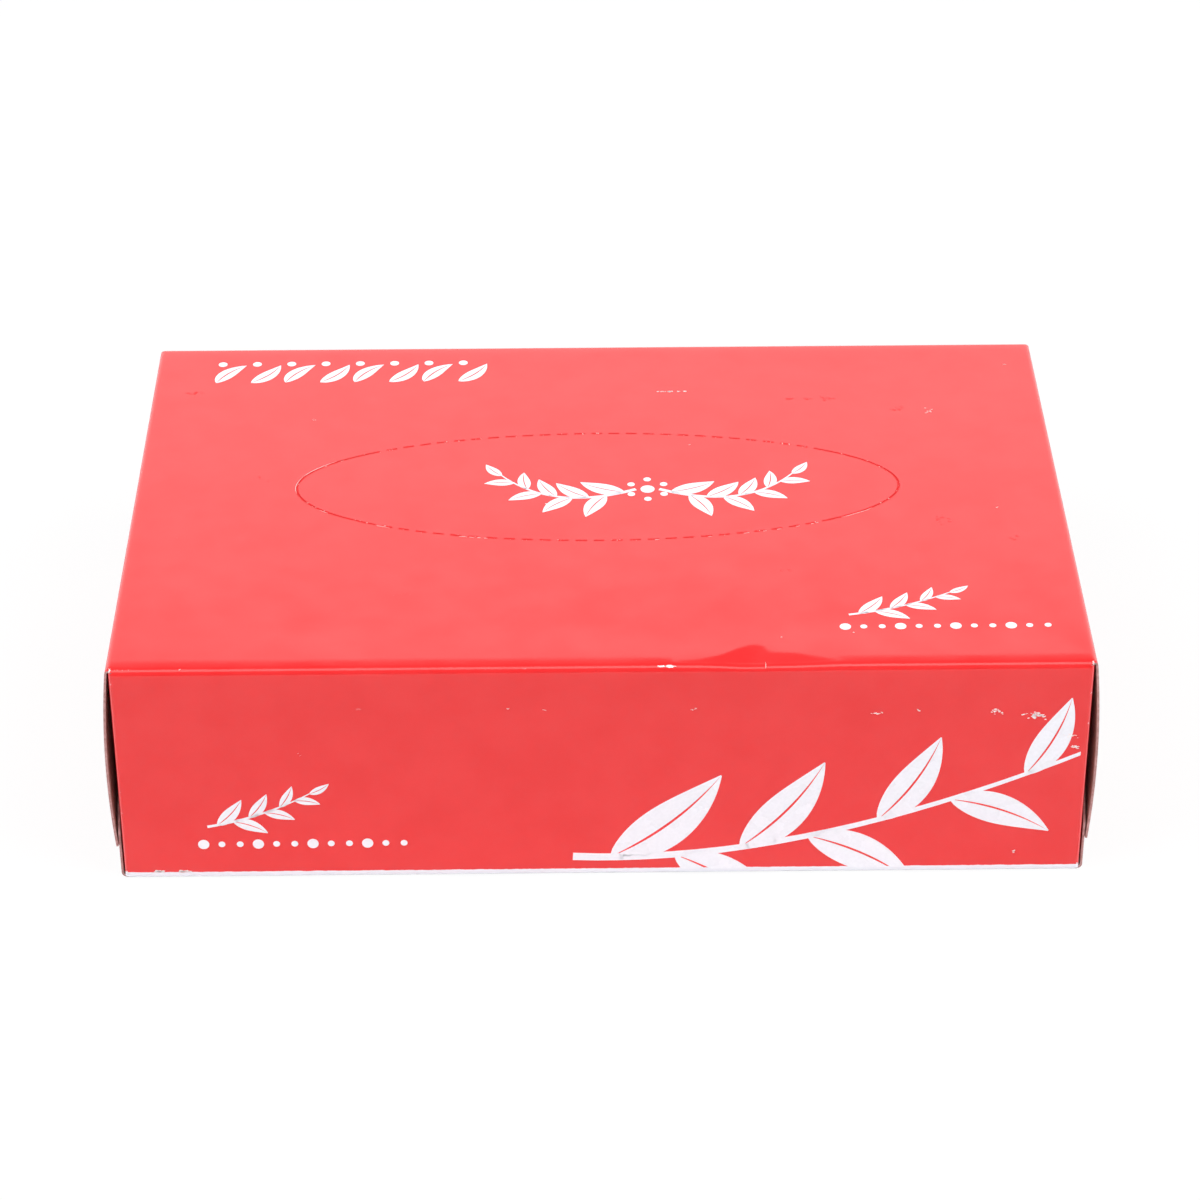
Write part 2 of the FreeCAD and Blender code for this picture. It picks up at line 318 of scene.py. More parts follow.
@dataclass(frozen=True)
class Profile:
    """A value that changes in straight steps along X."""

    points: tuple[tuple[float, float], ...]

    def at(self, along: float) -> float:
        """Finds the value at a place along X.

        Args:
            along: the place.

        Returns:
            The value, or 0 outside the points.
        """
        for (left, low), (right, high) in zip(self.points, self.points[1:]):
            if left <= along <= right:
                return low + (high - low) * (along - left) / (right - left)
        return 0.0


# Slack of the flat panels, always inwards
SLACK_MARGIN = 14 * MM
SLACK_MEAN = 0.09 * MM
SLACK_RIPPLE = 0.08 * MM
SLACK_SCALE = 28.0

# Wear, which above the long folds' level also sets a painted highlight on the end folds' ridges:
# how near to an end it starts, and its greatest value on long folds and cut ends
EDGE_RUB = 0.8 * MM
LONG_FOLD_WEAR = 0.86
CUT_END_WEAR = 0.7

# The dent: how far behind the front fold it reaches, at places along the box, and its
# depth as a share of that reach, up to a limit
CRUSH_REACH = Profile(tuple((along * MM, reach * MM) for along, reach in (
    (14, 0), (19.5, 0.8), (24, 2.4), (28, 5.2), (30.2, 6.2), (32, 5.6), (33, 3.2),
    (38, 2.9), (42, 1.6), (47, 0),
)))
CRUSH_SLOPE = 0.085
CRUSH_LIMIT = 0.42 * MM


class FoldPlan:
    """The carton's creases, and where the folds put each point of the flat blank."""

    def __init__(self, sizes: CartonSizes) -> None:
        """Lays out panels, bends and flaps.

        Args:
            sizes: the carton's sizes.
        """
        self.sizes = sizes
        quarter = math.pi / 2
        fold, glue = sizes.fold_radius, sizes.glue_fold_radius
        back = sizes.half_depth - sizes.board - sizes.paste
        base = back - glue + sizes.half_depth - fold
        sides = sizes.height - 2 * fold
        top = 2 * (sizes.half_depth - fold)
        back_run = sizes.height - fold - sizes.seam_height
        stretches = {
            Part.GLUE_FLAP: Stretch(sizes.glue_flap),
            Part.GLUE_FOLD: Stretch.bend(glue, quarter),
            Part.BASE: Stretch(base),
            Part.BASE_FOLD: Stretch.bend(fold, quarter),
            Part.FRONT: Stretch(sides),
            Part.FRONT_FOLD: Stretch.bend(fold, quarter),
            Part.TOP: Stretch(top),
            Part.BACK_FOLD: Stretch.bend(fold, quarter),
            Part.BACK: Stretch(back_run),
        }
        start = complex(back, glue + sizes.glue_flap)
        self.girth = CreasePath(start, -1j, [stretches[part] for part in Part])
        outer, lower, dust = self.outer_flap(), self.lower_flap(), self.dust_flap()
        self.panels = {
            "base": self.panel("base", Part.BASE, lower),
            "front": self.panel("front", Part.FRONT, dust),
            "top": self.panel("top", Part.TOP, outer),
            "back": self.panel("back", Part.BACK, dust),
        }

    def panel(self, name: str, part: Part, flap: EndFlap) -> Panel:
        """Lays out the panel of one straight stretch.

        Args:
            name: its name.
            part: its stretch.
            flap: the flap on its ends.

        Returns:
            The panel.
        """
        start, length = self.girth.starts[part], self.girth.stretches[part].length
        origin, heading = self.girth.marks[part]
        before, after = FLAP_ROWS[part]
        reach = (start - self.bend_share(part - 1, before),
                 start + length + self.bend_share(part + 1, after))
        return Panel(name, start, length, origin, heading, flap, reach)

    def bend_share(self, number: int, rows: int) -> float:
        """Finds the length of some rows of a bend.

        Args:
            number: the bend's number among the stretches.
            rows: how many of its rows.

        Returns:
            Their length, or 0 for no rows, where there may be no bend.
        """
        if not rows:
            return 0.0
        return self.girth.stretches[number].length * rows / ROW_COUNTS[Part(number)]

    def outer_flap(self) -> EndFlap:
        """Lays out the bowed flap that folds down from the top panel.

        Returns:
            The flap.
        """
        sizes = self.sizes
        fold = sizes.flap_fold_radius
        crease = sizes.end - sizes.fold_setback
        centre_x, centre_z, radius = self.bow_circle()
        fold_turn = math.atan2(sizes.height - fold - centre_z, crease - centre_x)
        toe_turn = math.asin((sizes.toe_height - centre_z) / radius)
        bend = Stretch.bend(fold, math.pi / 2 - fold_turn)
        run = Stretch.bend(radius, fold_turn - toe_turn)
        return EndFlap(crease, CreasePath(complex(crease, 0), 1, [bend, run]),
                       bend.length, run.length)

    def bow_circle(self) -> tuple[float, float, float]:
        """Finds the circle that the outer flap's bow lies on.

        The circle passes through the flap's toe, stands out from the end face by the
        bow and touches the circle of the fold from outside.

        Returns:
            The X and Z of its middle and its outer radius.
        """
        sizes = self.sizes
        fold = sizes.flap_fold_radius
        toe_sag = sizes.bow - sizes.lower_flap_gap - 2 * sizes.board - sizes.toe_clearance
        fold_sag = sizes.bow + sizes.fold_setback
        height = sizes.height - fold - sizes.toe_height
        spread = 2 * (fold_sag - fold - toe_sag)
        offset = height**2 + toe_sag**2 + fold**2 - fold_sag**2
        slope = 8 * height**2 * (fold_sag - fold) - 2 * offset * spread
        constant = offset**2 + 4 * height**2 * (fold_sag**2 - fold**2)
        radius = 2 * constant / (slope + math.sqrt(slope**2 - 4 * spread**2 * constant))
        rise = math.sqrt(2 * radius * toe_sag - toe_sag**2)
        return sizes.end + sizes.bow - radius, sizes.toe_height + rise, radius

    def lower_flap(self) -> EndFlap:
        """Lays out the flap that folds up from the base.

        Returns:
            The flap, which ends under the outer flap's toe.
        """
        sizes = self.sizes
        fold = sizes.flap_fold_radius
        crease = sizes.end + sizes.lower_flap_gap + sizes.board - fold
        bend, run = Stretch.bend(fold, math.pi / 2), Stretch(sizes.lower_flap_rise - fold)
        return EndFlap(crease, CreasePath(complex(crease, 0), 1, [bend, run]),
                       bend.length, run.length, sizes.lower_flap_shoulder,
                       sizes.lower_flap_corner)

    def dust_flap(self) -> EndFlap:
        """Lays out the flap that folds in from the front or back panel.

        Returns:
            The flap.
        """
        sizes = self.sizes
        crease = sizes.end - sizes.dust_fold_radius
        bend = Stretch.bend(sizes.dust_fold_radius, math.pi / 2)
        run = Stretch(sizes.dust_flap)
        return EndFlap(crease, CreasePath(complex(crease, 0), 1, [bend, run]),
                       bend.length, run.length, sizes.dust_shoulder, sizes.dust_corner)

    def owner(self, station: float) -> Panel | None:
        """Finds the panel whose flaps take in a row.

        Args:
            station: distance round the carton.

        Returns:
            The panel, or None between the flaps.
        """
        for panel in self.panels.values():
            low, high = panel.reach
            if low - TINY <= station <= high + TINY:
                return panel
        return None

    def fold(self, flat: Vector) -> Vector:
        """Folds a point of the flat blank.

        Args:
            flat: X along the box, distance round the carton, and lift off the board.

        Returns:
            Where it lies in the folded carton.
        """
        along, station, lift = flat
        lift += self.unevenness(along, station)
        place, normal = self.girth.at(station)
        panel = self.owner(station)
        if panel is None or abs(along) <= panel.flap.crease + TINY:
            point = place + lift * normal
            return Vector((along, point.real, point.imag))
        local = (place - panel.origin) / panel.heading
        beyond = abs(along) - panel.flap.crease
        flap_place, flap_normal = panel.flap.path.at(beyond)
        out = flap_place + lift * flap_normal
        sag = local.imag * (1 - smooth_step(beyond / panel.flap.fold_length))
        point = panel.origin + panel.heading * complex(local.real, out.imag + sag)
        return Vector((math.copysign(out.real, along), point.real, point.imag))

    def bend_distance(self, station: float) -> float:
        """Finds how far a row lies from the nearest bend round the carton.

        Args:
            station: distance round the carton.

        Returns:
            The distance, or 0 in a bend.
        """
        return min(
            max(start - station, station - start - stretch.length, 0.0)
            for start, stretch in zip(self.girth.starts, self.girth.stretches)
            if stretch.radius
        )

    def unevenness(self, along: float, station: float) -> float:
        """Adds the slack of the panels and the crush of the front fold.

        Args:
            along: place along X.
            station: distance round the carton.

        Returns:
            The lift of the board, negative inwards.
        """
        inside = min(self.bend_distance(station), self.sizes.end - abs(along))
        calm = smooth_step(inside / SLACK_MARGIN)
        ripple = noise.noise(Vector((along, station, 0)) * SLACK_SCALE)
        return -calm * (SLACK_MEAN + SLACK_RIPPLE * ripple) - self.crush(along, station)

    def crush(self, along: float, station: float) -> float:
        """Finds the depth of the dent in the top panel's front fold.

        Args:
            along: place along X.
            station: distance round the carton.

        Returns:
            The depth, or 0 beside the dent.
        """
        reach = CRUSH_REACH.at(along)
        top = self.panels["top"]
        behind = station - top.start
        if reach <= 0 or behind > reach:
            return 0.0
        depth = min(CRUSH_SLOPE * reach, CRUSH_LIMIT)
        bend = self.girth.stretches[Part.FRONT_FOLD].length
        if behind >= 0:
            return depth * (1 - behind / reach)
        return depth * smooth_step(1 + behind / bend)

    def fold_wear_and_sheen(self, along: float, station: float) -> float:
        """Finds how much a fold or a cut end rubs at a point, which on the end folds' ridges also
        sets a painted highlight.

        Args:
            along: place along X.
            station: distance round the carton.

        Returns:
            The wear, from 0 on a panel to 1 on a ridge.
        """
        wear_and_sheen = 0.0
        for start, stretch in zip(self.girth.starts, self.girth.stretches):
            if stretch.radius:
                off = abs(station - start - stretch.length / 2) / stretch.length
                wear_and_sheen = max(wear_and_sheen, LONG_FOLD_WEAR * (1 - off))
        panel = self.owner(station)
        if panel and abs(along) > panel.flap.crease - EDGE_RUB:
            beyond = (abs(along) - panel.flap.crease) / panel.flap.fold_length
            wear_and_sheen = max(wear_and_sheen, 1 - abs(beyond - 0.5))
        elif not panel and abs(along) > self.sizes.end - EDGE_RUB:
            wear_and_sheen = max(wear_and_sheen, CUT_END_WEAR)
        return wear_and_sheen


@dataclass(frozen=True)
class Perforation:
    """The oval tear-out: whole cuts round its tips, dashes along its sides."""

    half_length: float = 64 * MM
    half_width: float = 22 * MM
    cut_width: float = 0.55 * MM
    cut_depth: float = 0.13 * MM
    cut_slope: float = 0.3  # share of the width that one side slopes over
    whole_cut_angle: float = math.radians(43)
    nick: float = 1.4 * MM
    dashes: int = 25
    dash_segments: int = 3  # of each dash with its nick
    tip_segments: int = 37
    ring_scales: tuple[float, ...] = (
        0.98, 0.95, 0.9, 0.84, 0.77, 0.7, 0.63, 0.56, 0.49, 0.42, 0.35, 0.28, 0.2, 0.12)
    samples: int = 1500
    length_samples: int = 200

    @property
    def side_segments(self) -> int:
        """Segments of one long side, which ends with a nick."""
        return self.dash_segments * self.dashes + 1

    @property
    def segments(self) -> int:
        """Segments of the whole oval."""
        return 2 * (self.tip_segments + self.side_segments)

    def point(self, angle: float, offset: float) -> Vector:
        """Finds a point of the oval.

        Args:
            angle: its angle in radians.
            offset: how far it is moved out.

        Returns:
            The point, from the oval's middle.
        """
        cos, sin = math.cos(angle), math.sin(angle)
        normal = Vector((self.half_width * cos, self.half_length * sin, 0)).normalized()
        return Vector((self.half_length * cos, self.half_width * sin, 0)) + normal * offset

    def walk(self, first: float, last: float, samples: int) -> tuple[list[float], list[float]]:
        """Walks along the oval in small steps.

        Args:
            first: the angle where it starts.
            last: the angle where it ends.
            samples: how many steps.

        Returns:
            The angle and the distance run at each step.
        """
        steps = [first + (last - first) * k / samples for k in range(samples + 1)]
        points = [self.point(step, 0) for step in steps]
        gaps = [(b - a).length for a, b in zip(points, points[1:])]
        return steps, [0.0, *accumulate(gaps)]

    def stretch_angles(self, first: float, last: float, shares: list[float]) -> list[float]:
        """Spaces nodes along a stretch of the oval by length.

        Args:
            first: the angle where it starts.
            last: the angle where it ends.
            shares: the nodes' places as shares of its length.

        Returns:
            The angle of each node.
        """
        steps, run = self.walk(first, last, self.samples)
        return [
            steps[min(bisect_right(run, share * run[-1]), self.samples)] for share in shares
        ]

    def angles(self) -> list[float]:
        """Lays out the nodes of the oval, from the middle of its +X tip.

        Returns:
            The angle of each node.
        """
        tip, side = self.whole_cut_angle, math.pi - self.whole_cut_angle
        tip_shares = [k / self.tip_segments for k in range(self.tip_segments)]
        length = self.walk(tip, side, self.length_samples)[1][-1]
        pitch = (length - self.nick) / self.dashes
        places: list[float] = []
        for dash in range(self.dashes):
            start = dash * pitch
            places += [start, start + self.nick, start + (self.nick + pitch) / 2]
        side_shares = [place / length for place in (*places, self.dashes * pitch)]
        half_turn = [
            *self.stretch_angles(-tip, tip, tip_shares),
            *self.stretch_angles(tip, side, side_shares),
        ]
        nodes = [*half_turn, *(angle + math.pi for angle in half_turn)]
        middle = (self.tip_segments + 1) // 2
        return [*nodes[middle:], *nodes[:middle]]

    def is_nick(self, segment: int) -> bool:
        """Returns whether the board stays uncut between a node and the one before."""
        place = segment % (self.segments // 2) - (self.tip_segments + 1) // 2
        return 0 <= place < self.side_segments and place % self.dash_segments == 0


class Carton:
    """The folded carton: one blank of board, cut, perforated and folded."""

    def __init__(self, plan: FoldPlan, perforation: Perforation) -> None:
        """Takes the creases and the tear-out.

        Args:
            plan: creases of the blank.
            perforation: the tear-out oval in its top panel.
        """
        self.plan = plan
        self.perforation = perforation
        self.rows = self.lay_rows()
        top = plan.panels["top"]
        middle = top.start + top.length / 2 + plan.sizes.oval_setback
        self.oval_middle = Vector((0, middle, 0))
        self.patch = (middle - PATCH_HALF, middle + PATCH_HALF)

    def lay_rows(self) -> list[Row]:
        """Lays out the rows of the grid, from the glue flap's edge to the seam.

        Returns:
            The rows in order.
        """
        girth, sizes = self.plan.girth, self.plan.sizes
        top = self.plan.panels["top"]
        strips = {part: [(girth.stretches[part].length, count)]
                  for part, count in ROW_COUNTS.items()}
        before = top.length / 2 + sizes.oval_setback - PATCH_HALF
        behind = top.length - before - 2 * PATCH_HALF
        strips[Part.TOP] = [(before, ROWS_BEFORE_PATCH), (2 * PATCH_HALF, PATCH_ROWS),
                            (behind, ROWS_BEHIND_PATCH)]
        rows, station = [self.row(0.0)], 0.0
        for part in Part:
            for length, count in strips[part]:
                rows += [self.row(station + length * k / count) for k in range(1, count + 1)]
                station += length
        return rows

    def row(self, station: float) -> Row:
        """Lays out one row.

        Args:
            station: distance round the carton.

        Returns:
            The row, which ends further in on the glue flap.
        """
        sizes = self.plan.sizes
        end = sizes.end - sizes.notch_inset
        girth = self.plan.girth
        if station <= girth.starts[Part.BASE] - TINY:
            past = smooth_step((station - girth.starts[Part.GLUE_FOLD])
                               / girth.stretches[Part.GLUE_FOLD].length)
            end = sizes.end - sizes.glue_flap_inset * (1 - past) - sizes.notch_inset * past
        return Row(station, end, self.plan.owner(station))

    def lay_blank(self) -> bmesh.types.BMesh:
        """Cuts the flat blank out of a grid.

        Returns:
            The blank without thickness, faces up.
        """
        blank = bmesh.new()
        columns = 2 * ALL_COLUMNS
        last_row = len(self.rows) - 1
        bmesh.ops.create_grid(blank, x_segments=columns, y_segments=last_row, size=1)
        waste: list[bmesh.types.BMFace] = []
        address: dict[bmesh.types.BMVert, tuple[int, int]] = {}
        for vert in blank.verts:
            column = round((vert.co.x + 1) / 2 * columns) - ALL_COLUMNS
            row = round((vert.co.y + 1) / 2 * last_row)
            address[vert] = (column, row)
        for face in blank.faces:
            column = max(abs(address[vert][0]) for vert in face.verts)
            rows = [self.rows[number] for number in
                    sorted({address[vert][1] for vert in face.verts})]
            owners = {row.panel.name if row.panel else None for row in rows}
            cut_out = column > PANEL_COLUMNS and (len(owners) > 1 or None in owners)
            low, high = self.patch
            in_patch = (column <= MIDDLE_COLUMNS and rows[0].station > low - TINY
                        and rows[-1].station < high + TINY)
            if cut_out or in_patch:
                waste.append(face)
        for vert, (column, row) in address.items():
            vert.co = (self.rows[row].place(column), self.rows[row].station, 0)
        bmesh.ops.delete(blank, geom=waste, context="FACES")
        return blank

    def on_patch_edge(self, edge: bmesh.types.BMEdge) -> bool:
        """Tests for an edge on the rim of the hole left for the oval.

        Args:
            edge: an edge of the blank.

        Returns:
            Whether it is on the rim.
        """
        low, high = self.patch
        return edge.is_boundary and all(
            abs(vert.co.x) < MIDDLE_REACH + TINY and low - TINY < vert.co.y < high + TINY
            for vert in edge.verts
        )

    def rim_node(self, place: Vector) -> int:
        """Finds the oval's node that a point of the hole's rim runs to.

        Args:
            place: the point.

        Returns:
            The node's number.
        """
        low, high = self.patch
        column = round(place.x / MIDDLE_REACH * MIDDLE_COLUMNS)
        row = round((place.y - low) / (high - low) * PATCH_ROWS)
        if column == MIDDLE_COLUMNS:
            turn = row
        elif row == PATCH_ROWS:
            turn = PATCH_ROWS + MIDDLE_COLUMNS - column
        elif column == -MIDDLE_COLUMNS:
            turn = 2 * PATCH_ROWS + 2 * MIDDLE_COLUMNS - row
        else:
            turn = 2 * PATCH_ROWS + 3 * MIDDLE_COLUMNS + column
        return (turn - (PATCH_ROWS + 1) // 2) % self.perforation.segments

    def perforate(self, blank: bmesh.types.BMesh) -> None:
        """Fills the hole in the top panel with the oval and its dashed cut.

        Args:
            blank: the flat blank.
        """
        oval, middle = self.perforation, self.oval_middle
        half_cut = oval.cut_width / 2
        angles = oval.angles()
        rim = [edge for edge in blank.edges if self.on_patch_edge(edge)]
        made = bmesh.ops.extrude_edge_only(blank, edges=rim)["geom"]
        nodes = {item: self.rim_node(item.co) for item in made
                 if isinstance(item, bmesh.types.BMVert)}
        for vert, node in nodes.items():
            vert.co = middle + oval.point(angles[node], half_cut)
        around = dict.fromkeys(edge for vert in nodes for edge in vert.link_edges)
        spokes = [edge for edge in around if sum(vert in nodes for vert in edge.verts) == 1]
        cut = [item for item in made if isinstance(item, bmesh.types.BMEdge)
               and all(vert in nodes for vert in item.verts)]
        band = bmesh.ops.extrude_edge_only(blank, edges=cut)["geom"]
        faces = [item for item in band if isinstance(item, bmesh.types.BMFace)]
        inner = [item for item in band if isinstance(item, bmesh.types.BMVert)]
        for vert in inner:
            outer = next(edge.other_vert(vert) for edge in vert.link_edges
                         if edge.other_vert(vert) in nodes)
            vert.co = middle + oval.point(angles[nodes[outer]], -half_cut)
        dashes = []
        for face in faces:
            first, second = sorted(nodes[vert] for vert in face.verts if vert in nodes)
            segment = second if second - first == 1 else first
            if not oval.is_nick(segment):
                dashes.append(face)
        self.fill_oval(blank, set(inner))
        for face in dashes:
            face.material_index = Face.PERFORATION.value
        bmesh.ops.subdivide_edges(blank, edges=spokes, cuts=SPOKE_CUTS)

    def fill_oval(self, blank: bmesh.types.BMesh, ring: set[bmesh.types.BMVert]) -> None:
        """Fills the oval with rings that shrink to its middle.

        Args:
            blank: the flat blank.
            ring: vertices of the oval's rim.
        """
        edges = [edge for edge in blank.edges if all(vert in ring for vert in edge.verts)]
        scale = 1.0
        for next_scale in self.perforation.ring_scales:
            made = bmesh.ops.extrude_edge_only(blank, edges=edges)["geom"]
            verts = [item for item in made if isinstance(item, bmesh.types.BMVert)]
            new = set(verts)
            share = next_scale / scale
            bmesh.ops.scale(blank, vec=(share, share, 1), verts=verts,
                            space=Matrix.Translation(-self.oval_middle))
            edges = [item for item in made if isinstance(item, bmesh.types.BMEdge)
                     and all(vert in new for vert in item.verts)]
            scale = next_scale
        bmesh.ops.edgeloop_fill(blank, edges=edges)

    def refine_dent(self, blank: bmesh.types.BMesh) -> None:
        """Divides the blank more finely where the front fold is dented.

        Args:
            blank: the flat blank.
        """
        top = self.plan.panels["top"]
        bend = self.plan.girth.stretches[Part.FRONT_FOLD].length
        left, right = CRUSH_REACH.points[0][0], CRUSH_REACH.points[-1][0]
        low, high = top.start - bend - DENT_MARGIN_BEFORE, top.start + DENT_MARGIN_BEHIND
        edges = dict.fromkeys(
            edge for face in blank.faces for edge in face.edges
            if left < face.calc_center_median().x < right
            and low < face.calc_center_median().y < high
        )
        bmesh.ops.subdivide_edges(blank, edges=list(edges), cuts=DENT_CUTS, use_grid_fill=True)

    def thicken(self, blank: bmesh.types.BMesh) -> None:
        """Gives the blank its thickness downwards and each side its material.

        Args:
            blank: the flat blank.
        """
        down = [face for face in blank.faces if face.normal.z < 0]
        bmesh.ops.reverse_faces(blank, faces=down)
        cuts = [face for face in blank.faces if face.material_index == Face.PERFORATION.value]
        printed = set(blank.faces)
        made = bmesh.ops.solidify(blank, geom=blank.faces[:], thickness=self.plan.sizes.board)
        inner = {item for item in made["geom"] if isinstance(item, bmesh.types.BMFace)}
        for face in blank.faces:
            if face in inner:
                face.material_index = Face.INNER.value
            elif face not in printed:
                face.material_index = Face.CUT_EDGE.value
        self.sink(blank, cuts)

    def sink(self, blank: bmesh.types.BMesh, cuts: list[bmesh.types.BMFace]) -> None:
        """Presses the dashes of the perforation into sloping grooves.

        Args:
            blank: the thickened blank.
            cuts: faces of the dashes.
        """
        sunk = bmesh.ops.extrude_face_region(blank, geom=cuts)["geom"]
        bmesh.ops.delete(blank, geom=cuts, context="FACES")
        floor = dict.fromkeys(item for item in sunk if isinstance(item, bmesh.types.BMVert))
        across = {
            vert: min((edge.other_vert(vert).co - vert.co for edge in vert.link_edges
                       if edge.other_vert(vert) in floor), key=lambda way: way.length)
            for vert in floor
        }
        depth = Vector((0, 0, self.perforation.cut_depth))
        for vert, way in across.items():
            vert.co += way * self.perforation.cut_slope - depth
            for face in vert.link_faces:
                face.material_index = Face.PERFORATION.value

    def build(self) -> bpy.types.Object:
        """Cuts, perforates and folds the carton.

        Returns:
            The folded carton.
        """
        blank = self.lay_blank()
        self.perforate(blank)
        self.refine_dent(blank)
        blank.normal_update()
        self.thicken(blank)
        # The fold wear also carries the painted highlight on the end folds' ridges
        wear_and_sheen = blank.verts.layers.float.new("fold_wear_and_sheen")
        for vert in blank.verts:
            vert[wear_and_sheen] = self.plan.fold_wear_and_sheen(vert.co.x, vert.co.y)
            vert.co = self.plan.fold(vert.co)
        return finish_mesh("carton", blank, CARTON_SHARP_DEGREES)


def finish_mesh(name: str, shape: bmesh.types.BMesh,
                sharp_degrees: float = SHARP_DEGREES) -> bpy.types.Object:
    """Turns a bmesh into an object at the origin and frees the bmesh.

    Args:
        name: the object's name.
        shape: what it is made of.
        sharp_degrees: edges that turn by more than this stay sharp.

    Returns:
        The linked object.
    """
    mesh = bpy.data.meshes.new(name)
    shape.normal_update()
    shape.to_mesh(mesh)
    shape.free()
    mesh.shade_smooth()
    mesh.set_sharp_from_angle(angle=math.radians(sharp_degrees))
    thing = bpy.data.objects.new(name, mesh)
    bpy.context.scene.collection.objects.link(thing)
    return thing


@dataclass(frozen=True)
class Curve:
    """A plane curve bent by one control point, in millimetres."""

    start: complex
    control: complex
    tip: complex

    def at(self, share: float) -> complex:
        """Returns the place at a share of the curve."""
        rest = 1 - share
        return rest**2 * self.start + 2 * rest * share * self.control + share**2 * self.tip

    def placed(self, place: complex, side: int = 1) -> Curve:
        """Returns the curve with its zero at a place, mirrored sideways if the side is -1."""
        points = (self.start, self.control, self.tip)
        return Curve(*(place + complex(side * point.real, point.imag) for point in points))

    def heading(self, share: float) -> complex:
        """Returns the unit direction at a share of the curve."""
        way = (1 - share) * (self.control - self.start) + share * (self.tip - self.control)
        return way / abs(way)


# Share of its width that a stem loses towards its tip
STEM_TAPER = 0.65
# Powers that move a leaf's widest place and fill out its sides, and the share of its
# width that it keeps at its ends, so that its halves stay apart
LEAF_LEAN = 0.8
LEAF_FULLNESS = 0.85
LEAST_SWELL = 0.03


class Outline(Enum):
    """How a stroke swells along its curve."""

    STEM = "stem"
    LEAF = "leaf"

    def swell(self, share: float) -> float:
        """Finds the stroke's width at a share of its length.

        Args:
            share: the share.

        Returns:
            The width, from 0 to 1.
        """
        if self is Outline.STEM:
            return 1 - STEM_TAPER * share
        return max(LEAST_SWELL, math.sin(math.pi * share**LEAF_LEAN) ** LEAF_FULLNESS)


@dataclass(frozen=True)
class BranchStyle:
    """How a branch is drawn, in millimetres and degrees."""

    leaves: int
    length: float  # of its lowest leaf
    half_width: float  # of its lowest leaf
    spread: float  # angle of its leaves to its stem
    thickness: float  # of its stem at its foot


@dataclass(frozen=True)
class Scuff:
    """A rubbed place on a panel, in millimetres: a cluster of ragged flecks."""

    middle: complex
    reach: complex  # half its length and half its height
    flecks: int
    size: float  # half length of its largest fleck


